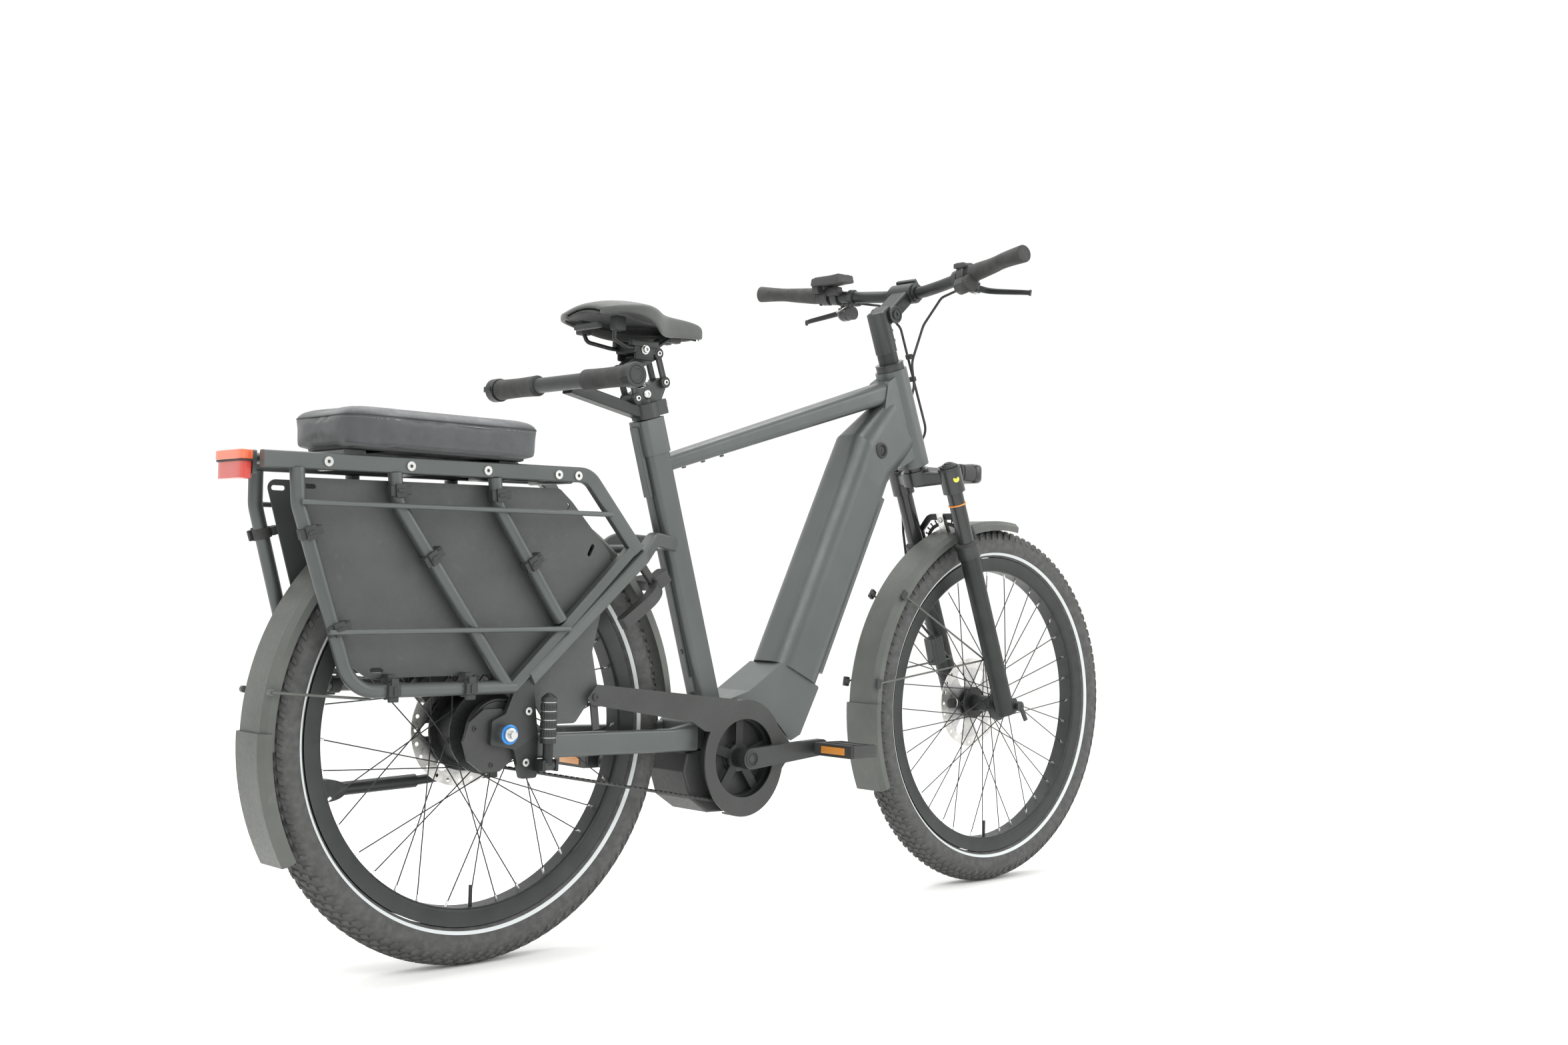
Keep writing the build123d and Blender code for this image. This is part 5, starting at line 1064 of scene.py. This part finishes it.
def brake_levers():
    """Forged lever blades with a hooked tip, with the master cylinder's cap and bolts."""
    hardware = Form()
    caps = Form()
    for side, word in SIDES:
        pin = joint_at("brake_" + word)
        line = smooth_line([
            pin + Vector((0.002, side * 0.001, 0)), pin + Vector((0.017, side * 0.013, -0.004)),
            pin + Vector((0.021, side * 0.036, -0.008)), pin + Vector((0.015, side * 0.075, -0.014)),
            pin + Vector((0.009, side * 0.108, -0.019)), pin + Vector((0.012, side * 0.122, -0.021)),
        ], 6)
        rings = []
        for index, point in enumerate(line):
            share = index / (len(line) - 1)
            run = (line[min(index + 1, len(line) - 1)] - line[max(index - 1, 0)]).normalized()
            thick = (run.cross(UP)).normalized()
            tall = thick.cross(run)
            waist = 0.0036 + 0.0012 * cos(pi * share)
            grow = 1.35 if share > 0.95 else 1.0
            rings.append(oval(point, thick, tall, waist * grow, (0.0062 - 0.0018 * share) * grow, 3.0, 20))
        blade = Form().skin(rings)
        blade.turned(pin - UP * 0.0056, UP, [
            (0, 0.0070), (0.001, 0.0082), (0.0102, 0.0082), (0.0112, 0.0070), (0.0112, 0.0036),
        ])
        made = blade.piece("lever_blade_" + word, "brake_lever_" + word, "black_alloy")
        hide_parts("brake_lever_" + word)
        for height in (-1, 1):
            hardware.bolt(pin + UP * (height * 0.0092), UP * height, 0.0048, 0.0026)
        base = on_bar(side, 0.176)
        tank = base + Vector((0.033, -side * 0.030, -0.008))
        aim = Vector((-0.007, side * 0.030, -0.001)).normalized()
        caps.turned(tank - aim * 0.004, aim, [
            (0, 0.0070), (0.001, 0.0096), (0.004, 0.0102), (0.012, 0.0102), (0.014, 0.0094), (0.030, 0.0094),
            (0.032, 0.0080),
        ])
        lid_axes = (aim, aim.cross(UP).normalized(), UP)
        caps.block(tank + aim * 0.016 + UP * 0.009, lid_axes, (0.030, 0.016, 0.004), 0.0015)
        hardware.bolt(tank + aim * 0.006 + UP * 0.011, UP, 0.0026, 0.0016)
        hardware.bolt(tank + aim * 0.026 + UP * 0.011, UP, 0.0026, 0.0016)
        hardware.bolt(base + Vector((0.019, 0, 0.005)), AHEAD, 0.0040, 0.0034)
    caps.piece("lever_tanks", "steering", "black_alloy")
    hardware.piece("lever_hardware", "steering", "bolt_steel")


def stem_fittings():
    """The stem's pivot caps, bar clamp plate, pinch bolts and top cap."""
    pivot = steer(0.804, 0.022)
    caps = Form()
    bolts = Form()
    for side, _ in SIDES:
        caps.turned(pivot + LEFT * (side * 0.025), LEFT * side, [
            (0, 0.0168), (0.0018, 0.0168), (0.0028, 0.0158), (0.0028, 0.0132), (0.0016, 0.0126),
            (0.0016, 0.0092), (0.0034, 0.0088), (0.0038, 0.0080), (0.0038, 0.0040), (0.0020, 0.0038),
        ])
    forward = (BAR_CENTRE - pivot).normalized()
    rise = upward(forward.cross(LEFT))
    plate = Form().block(BAR_CENTRE + forward * 0.0185, (LEFT, rise, forward), (0.050, 0.040, 0.008), 0.003)
    for side in (-1, 1):
        for level in (-1, 1):
            corner = LEFT * (side * 0.017) + rise * (level * 0.014)
            bolts.bolt(BAR_CENTRE + forward * 0.0222 + corner, forward, 0.0042, 0.003)
    for along in (0.754, 0.774):
        bolts.bolt(steer(along, 0.0258), STEER_AHEAD, 0.0046, 0.0034)
    cap = Form().turned(steer(0.8148), STEER_UP, [
        (0, 0.0180), (0.0012, 0.0180), (0.0022, 0.0168), (0.0022, 0.0060), (0.0010, 0.0056),
    ])
    cap.turned(steer(0.7125), STEER_UP, [(0, 0.0270), (0.0006, 0.0282), (0.0022, 0.0282), (0.0028, 0.0270)])
    cap.turned(steer(0.7360), STEER_UP, [(0, 0.0206), (0.0005, 0.0214), (0.0018, 0.0214), (0.0023, 0.0206)])
    caps.piece("stem_pivot_caps", "steering", "black_alloy")
    plate.piece("stem_clamp_plate", "steering", "black_alloy")
    cap.piece("headset_rings", "steering", "black_alloy", MATERIALS["gloss_black"])
    bolts.piece("stem_bolts", "steering", "bolt_steel", DULL_BLACK)


display()
bell()
shifter()
brake_levers()
stem_fittings()


# ------------------------------------------------------------------ headlight
def headlight():
    """A rounded lamp body with three cooling ribs, a raised bezel and a fluted lens."""
    rear = steer(0.478, 0.084) - UP * 0.010

    def shell(power, sections):
        """A form through (distance from the lamp's rear, half width, half height) sections."""
        return [oval(rear + AHEAD * along, LEFT, UP, half, tall, power, 48) for along, half, tall in sections]

    body = Form().skin(shell(4.0, (
        (-0.004, 0.010, 0.006), (0.0, 0.017, 0.011), (0.012, 0.022, 0.0145), (0.040, 0.027, 0.0170),
        (0.066, 0.030, 0.0185), (0.070, 0.0305, 0.0190),
    )))
    for along in (0.020, 0.028, 0.036):
        body.skin(shell(4.0, [
            (along + shift, 0.0240 + lift + along * 0.1, 0.0158 + lift + along * 0.05)
            for shift, lift in ((0, -0.001), (0.0006, 0.0004), (0.0022, 0.0004), (0.0028, -0.001))
        ]))
    body.block(steer(0.474, 0.052), STEER_AXES, (0.020, 0.070, 0.005), 0.0015)
    made = body.piece("headlight_body", "steering", "black_plastic")
    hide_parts("headlight")
    Form().skin(shell(5.0, (
        (0.066, 0.0300, 0.0185), (0.068, 0.0312, 0.0197), (0.082, 0.0312, 0.0197), (0.084, 0.0300, 0.0186),
        (0.0835, 0.0262, 0.0150), (0.078, 0.0255, 0.0144),
    ))).piece("headlight_bezel", "steering", "black_plastic", MATERIALS["gloss_black"])
    Form().skin(shell(5.0, (
        (0.0785, 0.0252, 0.0141), (0.0805, 0.0250, 0.0139), (0.0822, 0.0200, 0.0100),
        (0.0828, 0.0100, 0.0050),
    ))).piece("headlight_lens", "steering", "black_plastic", CLEAR_LENS)


# ------------------------------------------------------------------ fork
def fork_fittings():
    """Crown caps with a stepped dial, the travel ring, the arch's ribs and the mudguard's hanger bolt."""
    dials = Form()
    for side, _ in SIDES:
        top = steer(0.4915, LEG_AHEAD, side * LEG_HALF)
        dials.turned(top, STEER_UP, [
            (-0.004, 0.0222), (0.0005, 0.0222), (0.0018, 0.0210), (0.0018, 0.0186), (0.0008, 0.0182),
        ])
        dials.knurled(top + STEER_UP * 0.0006, STEER_UP, 0.0172, 0.0052, 20)
        dials.turned(top + STEER_UP * 0.0056, STEER_UP, [
            (0, 0.0128), (0.0026, 0.0124), (0.0032, 0.0114), (0.0032, 0.0080), (0.0052, 0.0076),
            (0.0056, 0.0066), (0.0056, 0.0032), (0.0036, 0.0030),
        ])
    dials.piece("crown_dials", "steering", "black_alloy")
    leg = steer(0.416, LEG_AHEAD, -LEG_HALF)
    Form().turned(leg, STEER_UP, [
        (0, 0.0161), (0.0002, 0.0175), (0.0012, 0.0181), (0.0024, 0.0175), (0.0026, 0.0161),
    ], looped=True).piece("travel_ring", "steering", "rubber", ORANGE)
    outward = (Vector((-0.42, -0.9, 0))).normalized()
    dot_place = steer(0.468, LEG_AHEAD, -LEG_HALF) + outward * 0.0214
    Form().turned(dot_place, outward, [(0, 0.0062), (0.0006, 0.0062), (0.0010, 0.0054)]).piece(
        "crown_dot", "steering", "black_plastic", YELLOW
    )
    wipers = Form()
    for side, _ in SIDES:
        wipers.turned(steer(0.3325, LEG_AHEAD, side * LEG_HALF), STEER_UP, [
            (0, 0.0218), (0.0035, 0.0218), (0.0052, 0.0200), (0.0066, 0.0176), (0.0066, 0.0163),
        ])
    wipers.piece("leg_wipers", "lowers", "rubber")
    arch = Form()
    arch_ahead = LEG_AHEAD + 0.023
    inner = []
    for step in range(25):
        turn = pi * step / 24
        inner.append(steer(0.334 + 0.036 * sin(turn), arch_ahead, 0.049 * cos(turn)))
    arch.tube(inner, 0.0036, count=10)
    for step in range(3, 22, 2):
        turn = pi * step / 24
        reach = steer(0.334 + 0.047 * sin(turn), arch_ahead, 0.058 * cos(turn))
        arch.tube([inner[step], (inner[step] + reach) / 2, reach], [0.0019, 0.0016, 0.0019], count=8)
    arch.piece("arch_ribs", "lowers", "black_alloy")
    hanger = steer(0.381, arch_ahead - 0.0075, 0)
    plate_axes = (LEFT, STEER_UP, STEER_AHEAD)
    plate = Form().block(hanger - STEER_UP * 0.010, plate_axes, (0.016, 0.046, 0.0022), 0.0009)
    plate.piece("hanger_plate", "lowers", "steel")
    Form().bolt(hanger - STEER_AHEAD * 0.0012, -STEER_AHEAD, 0.0058, 0.0034).piece(
        "hanger_bolt", "lowers", "bolt_steel"
    )
    feet = Form()
    for side, _ in SIDES:
        feet.bolt(Vector((FRONT_AXLE.x, side * 0.0752, FRONT_AXLE.z)), LEFT * side, 0.0098, 0.0040)
        feet.bolt(steer(-0.0262, LEG_AHEAD, side * LEG_HALF), -STEER_UP, 0.0080, 0.0030)
    feet.piece("fork_foot_bolts", "lowers", "bolt_steel", DULL_BLACK)


headlight()
fork_fittings()


# ------------------------------------------------------------------ pedals and cranks
def pedal(side, word):
    """Grip tape on both faces, ribbed edges and an amber reflector front and back."""
    body = "pedal_" + word
    middle = joint_at(body + "_spin")
    tape = Form()
    for face in (-1, 1):
        for across in (-1, 0, 1):
            width = 0.011 if across else 0.016
            place = middle + Vector((across * 0.0255, 0, face * 0.0104))
            tape.block(place, LEVEL_AXES, (width, 0.080, 0.0018), 0.0006)
    tape.piece(body + "_tape", body, "rubber", GRIT)
    for end in (-1, 1):
        place = Vector((middle.x + end * 0.0314, middle.y, middle.z))
        lamp = Form().block(place, FACING_AXES, (0.056, 0.0125, 0.0030), 0.0010)
        lamp.piece("%s_reflector_%s" % (body, "rear" if end < 0 else "front"), body, "red_lens", AMBER)
    ends = Form()
    for end in (-1, 1):
        ends.block(middle + LEFT * (end * 0.0465), (AHEAD, UP, LEFT), (0.058, 0.0215, 0.0045), 0.0018)
    ends.piece(body + "_ends", body, "black_plastic")


def crank_fittings():
    """The crank bolts and the pedal axles' outer ends."""
    bolts = Form()
    for side, _ in SIDES:
        bolts.turned(CRANK_AXLE + LEFT * (side * 0.0952), LEFT * side, [
            (-0.001, 0.0142), (0.0010, 0.0142), (0.0020, 0.0130), (0.0020, 0.0108), (0.0008, 0.0104),
            (0.0008, 0.0060), (-0.0006, 0.0058),
        ])
    bolts.piece("crank_bolts", "crankset", "black_alloy")
    axles = Form()
    for side, word in SIDES:
        tip = joint_at("pedal_" + word + "_spin")
        axles.turned(Vector((tip.x, side * 0.0958, tip.z)), -LEFT * side, [
            (-0.0006, 0.0066), (0, 0.0066), (0.0006, 0.0058), (0.0006, 0.0034),
        ])
    axles.piece("pedal_axle_ends", "crankset", "bolt_steel")


def belt_teeth():
    """The belt's teeth on its inner face, along both runs and round both sprockets."""
    pitch = 0.011
    front, rear = 45 * pitch / (2 * pi), 28 * pitch / (2 * pi)
    centre = CRANK_AXLE, REAR_AXLE
    run = (centre[0] - centre[1])
    span = run.length
    ahead = run.normalized()
    above = Vector((-ahead.z, 0, ahead.x))
    tilt = (front - rear) / span
    low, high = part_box("toothed_belt")
    middle_y, width = (low.y + high.y) / 2, (high.y - low.y) * 0.98
    teeth = Form()
    for way in (1, -1):
        normal = -ahead * tilt + above * (way * sqrt(1 - tilt * tilt))
        start = centre[1] + normal * rear
        end = centre[0] + normal * front
        along = (end - start).normalized()
        count = int((end - start).length / pitch)
        for index in range(count):
            place = start + along * (pitch * (index + 0.5)) - normal * 0.0012
            place.y = middle_y
            teeth.block(place, (along, LEFT, -normal), (0.0062, width, 0.0026), 0.0006, taper=0.62)
    teeth.piece("belt_teeth", "frame", "belt")


for pedal_side, pedal_word in SIDES:
    pedal(pedal_side, pedal_word)
crank_fittings()
belt_teeth()


# ------------------------------------------------------------------ straps, lock, axle, pegs, lamp and clips
STRAPS = (
    # ahead of the rear axle, height, the tube's direction (x, z)
    (-0.330, 0.650, (83, -262)), (-0.286, 0.516, (83, -262)),
    (-0.200, 0.428, (1, 0)), (-0.070, 0.428, (1, 0)),
    (-0.188, 0.716, (3, -40)), (-0.132, 0.620, (187, -268)),
    (-0.014, 0.718, (4, -40)), (0.046, 0.616, (117, -176)),
)


def strap_buckles():
    """Each rubber strap's buckle, its hooked tail and the tongue through the panel's slot."""
    for side, word in SIDES:
        buckles = Form()
        for place, height, run in STRAPS:
            along = Vector((run[0], 0, run[1])).normalized()
            across = along.cross(LEFT).normalized()
            face = rack(place, height, RACK_TUBE + 0.0030, side)
            out = LEFT * side
            axes = (along, across, out)
            buckles.block(face, axes, (0.020, 0.017, 0.0050), 0.0016)
            buckles.block(face + across * 0.0125 + out * 0.0006, axes, (0.012, 0.011, 0.0034), 0.0012)
            buckles.block(face - across * 0.0120 - out * 0.0030, axes, (0.016, 0.009, 0.0060), 0.0018)
            buckles.block(face + out * 0.0032, axes, (0.005, 0.013, 0.0020), 0.0008)
            tongue = rack(place, height, -0.004, side)
            buckles.block(tongue + across * 0.0165, axes, (0.013, 0.014, 0.0200), 0.0020)
        buckles.piece("strap_buckles_" + word, "frame", "rubber", DULL_BLACK)


def key_lock():
    """The battery lock in the down tube's side, in its rubber ring."""
    place = Vector((0.274, -0.0435, 0.848))
    ring = Form().turned(place, -LEFT, [
        (-0.004, 0.0152), (0.0016, 0.0152), (0.0040, 0.0138), (0.0048, 0.0122), (0.0040, 0.0104),
        (0.0012, 0.0098), (-0.002, 0.0096),
    ])
    ring.piece("lock_ring", "frame", "rubber")
    core = Form().turned(place, -LEFT, [
        (-0.004, 0.0094), (0.0006, 0.0094), (0.0012, 0.0086), (0.0012, 0.0020),
    ])
    core.block(place - LEFT * 0.0016, (UP, AHEAD, LEFT), (0.0078, 0.0016, 0.0010), 0.0003)
    core.piece("lock_core", "frame", "steel", DULL_BLACK)


def axle_fittings():
    """The rear axle's blue index ring, the hub cover's screws and the guard's end screw."""
    blue = Form().turned(Vector((REAR_AXLE.x, -0.0912, REAR_AXLE.z)), -LEFT, [
        (0, 0.0135), (0.0008, 0.0150), (0.0030, 0.0150), (0.0038, 0.0135), (0.0038, 0.0110),
    ])
    blue.piece("axle_index_ring", "frame", "black_alloy", BLUE)
    nuts = Form()
    for side, _ in SIDES:
        nuts.turned(Vector((REAR_AXLE.x, side * 0.0915, REAR_AXLE.z)), LEFT * side, [
            (0, 0.0108), (0.0016, 0.0112), (0.0062, 0.0106), (0.0072, 0.0090), (0.0072, 0.0066),
        ], count=24)
    nuts.piece("axle_domes", "frame", "bolt_steel")
    screws = Form()
    screw_ring = 0.037
    for turn in (0.5, 2.6, 4.7):
        offset = Vector((screw_ring * cos(turn) - 0.016, 0, screw_ring * sin(turn) - 0.010))
        screws.bolt(Vector((REAR_AXLE.x, -0.0700, REAR_AXLE.z)) + offset, -LEFT, 0.0038, 0.0022)
    screws.bolt(CRANK_AXLE + Vector((-0.325, -0.0768, 0.114)), -LEFT, 0.0058, 0.0032)
    screws.piece("guard_screws", "frame", "bolt_steel", DULL_BLACK)


def peg_grooves():
    """Bright turned rings and a knurled black alloy sleeve on each folding foot peg."""
    for side, word in SIDES:
        body = "foot_peg_" + word
        pin = joint_at(body + "_fold")
        rings = Form()
        for step in range(5):
            rings.turned(pin + UP * (0.042 + 0.0135 * step), UP, [
                (0, 0.0119), (0.0003, 0.0125), (0.0013, 0.0125), (0.0016, 0.0119),
            ], looped=True)
        rings.piece(body + "_rings", body, "bolt_steel")
        sleeve = Form()
        for step in range(4):
            sleeve.knurled(pin + UP * (0.0445 + 0.0135 * step), UP, 0.0129, 0.0095, 18)
        sleeve.piece(body + "_knurl", body, "black_alloy")


def tail_lamp():
    """The tail lamp: an upper light, a lower reflector, the rim between them and a back plate."""
    low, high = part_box("tail_lights")
    middle_x = (low.x + high.x) / 2
    depth = high.x - low.x
    levels = (0.7492, 0.0012), (0.7500, 0.0002), (0.7616, 0.0002), (0.7626, 0.0014)
    upper = Form().skin(stack(middle_x, depth / 2, 0.042, levels, 6.0, 64))
    upper = upper.piece("tail_light_lens", "frame", "red_lens", TAIL_LENS)
    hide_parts("tail_lights")
    levels = (0.7222, 0.0016), (0.7232, 0.0002), (0.7462, 0.0002), (0.7470, 0.0012)
    lower = Form().skin(stack(middle_x + 0.0012, depth / 2 - 0.0014, 0.038, levels, 6.0, 64))
    lower.piece("tail_reflector", "frame", "red_lens")
    levels = (-0.0010, 0.0012), (-0.0005, 0.0004), (0.0012, 0.0004), (0.0018, 0.0012)
    rim = Form().skin(stack(middle_x + 0.0006, depth / 2, 0.0415, levels, 6.0, 64, 0.7475))
    rim.block(Vector((high.x - 0.0020, 0, 0.742)), FACING_AXES, (0.060, 0.030, 0.0035), 0.001)
    rim.piece("tail_lamp_rim", "frame", "black_plastic", DULL_BLACK)


def hose_clips():
    """Clips that hold the two hoses together in front of the head tube."""
    clips = Form()
    for along, ahead in ((0.712, 0.0605), (0.668, 0.0550)):
        clips.block(steer(along, ahead), STEER_AXES, (0.0150, 0.0075, 0.0100), 0.0022)
    clips.piece("hose_clips", "steering", "rubber")


def stay_clips():
    """The mudguard stays' clamp blocks on the front mudguard's rim."""
    clips = Form()
    reach = TYRE_RADIUS + 0.016
    for side, _ in SIDES:
        for degrees_up in (8, 36):
            turn = radians(degrees_up)
            place = FRONT_AXLE + Vector((-reach * cos(turn), side * 0.0415, reach * sin(turn)))
            out = Vector((-cos(turn), 0, sin(turn)))
            along = Vector((sin(turn), 0, cos(turn)))
            clips.block(place, (along, out, LEFT), (0.018, 0.012, 0.0075), 0.0022)
    clips.piece("stay_clips", "lowers", "black_plastic", DULL_BLACK)


strap_buckles()
key_lock()
axle_fittings()
peg_grooves()
tail_lamp()
hose_clips()
stay_clips()
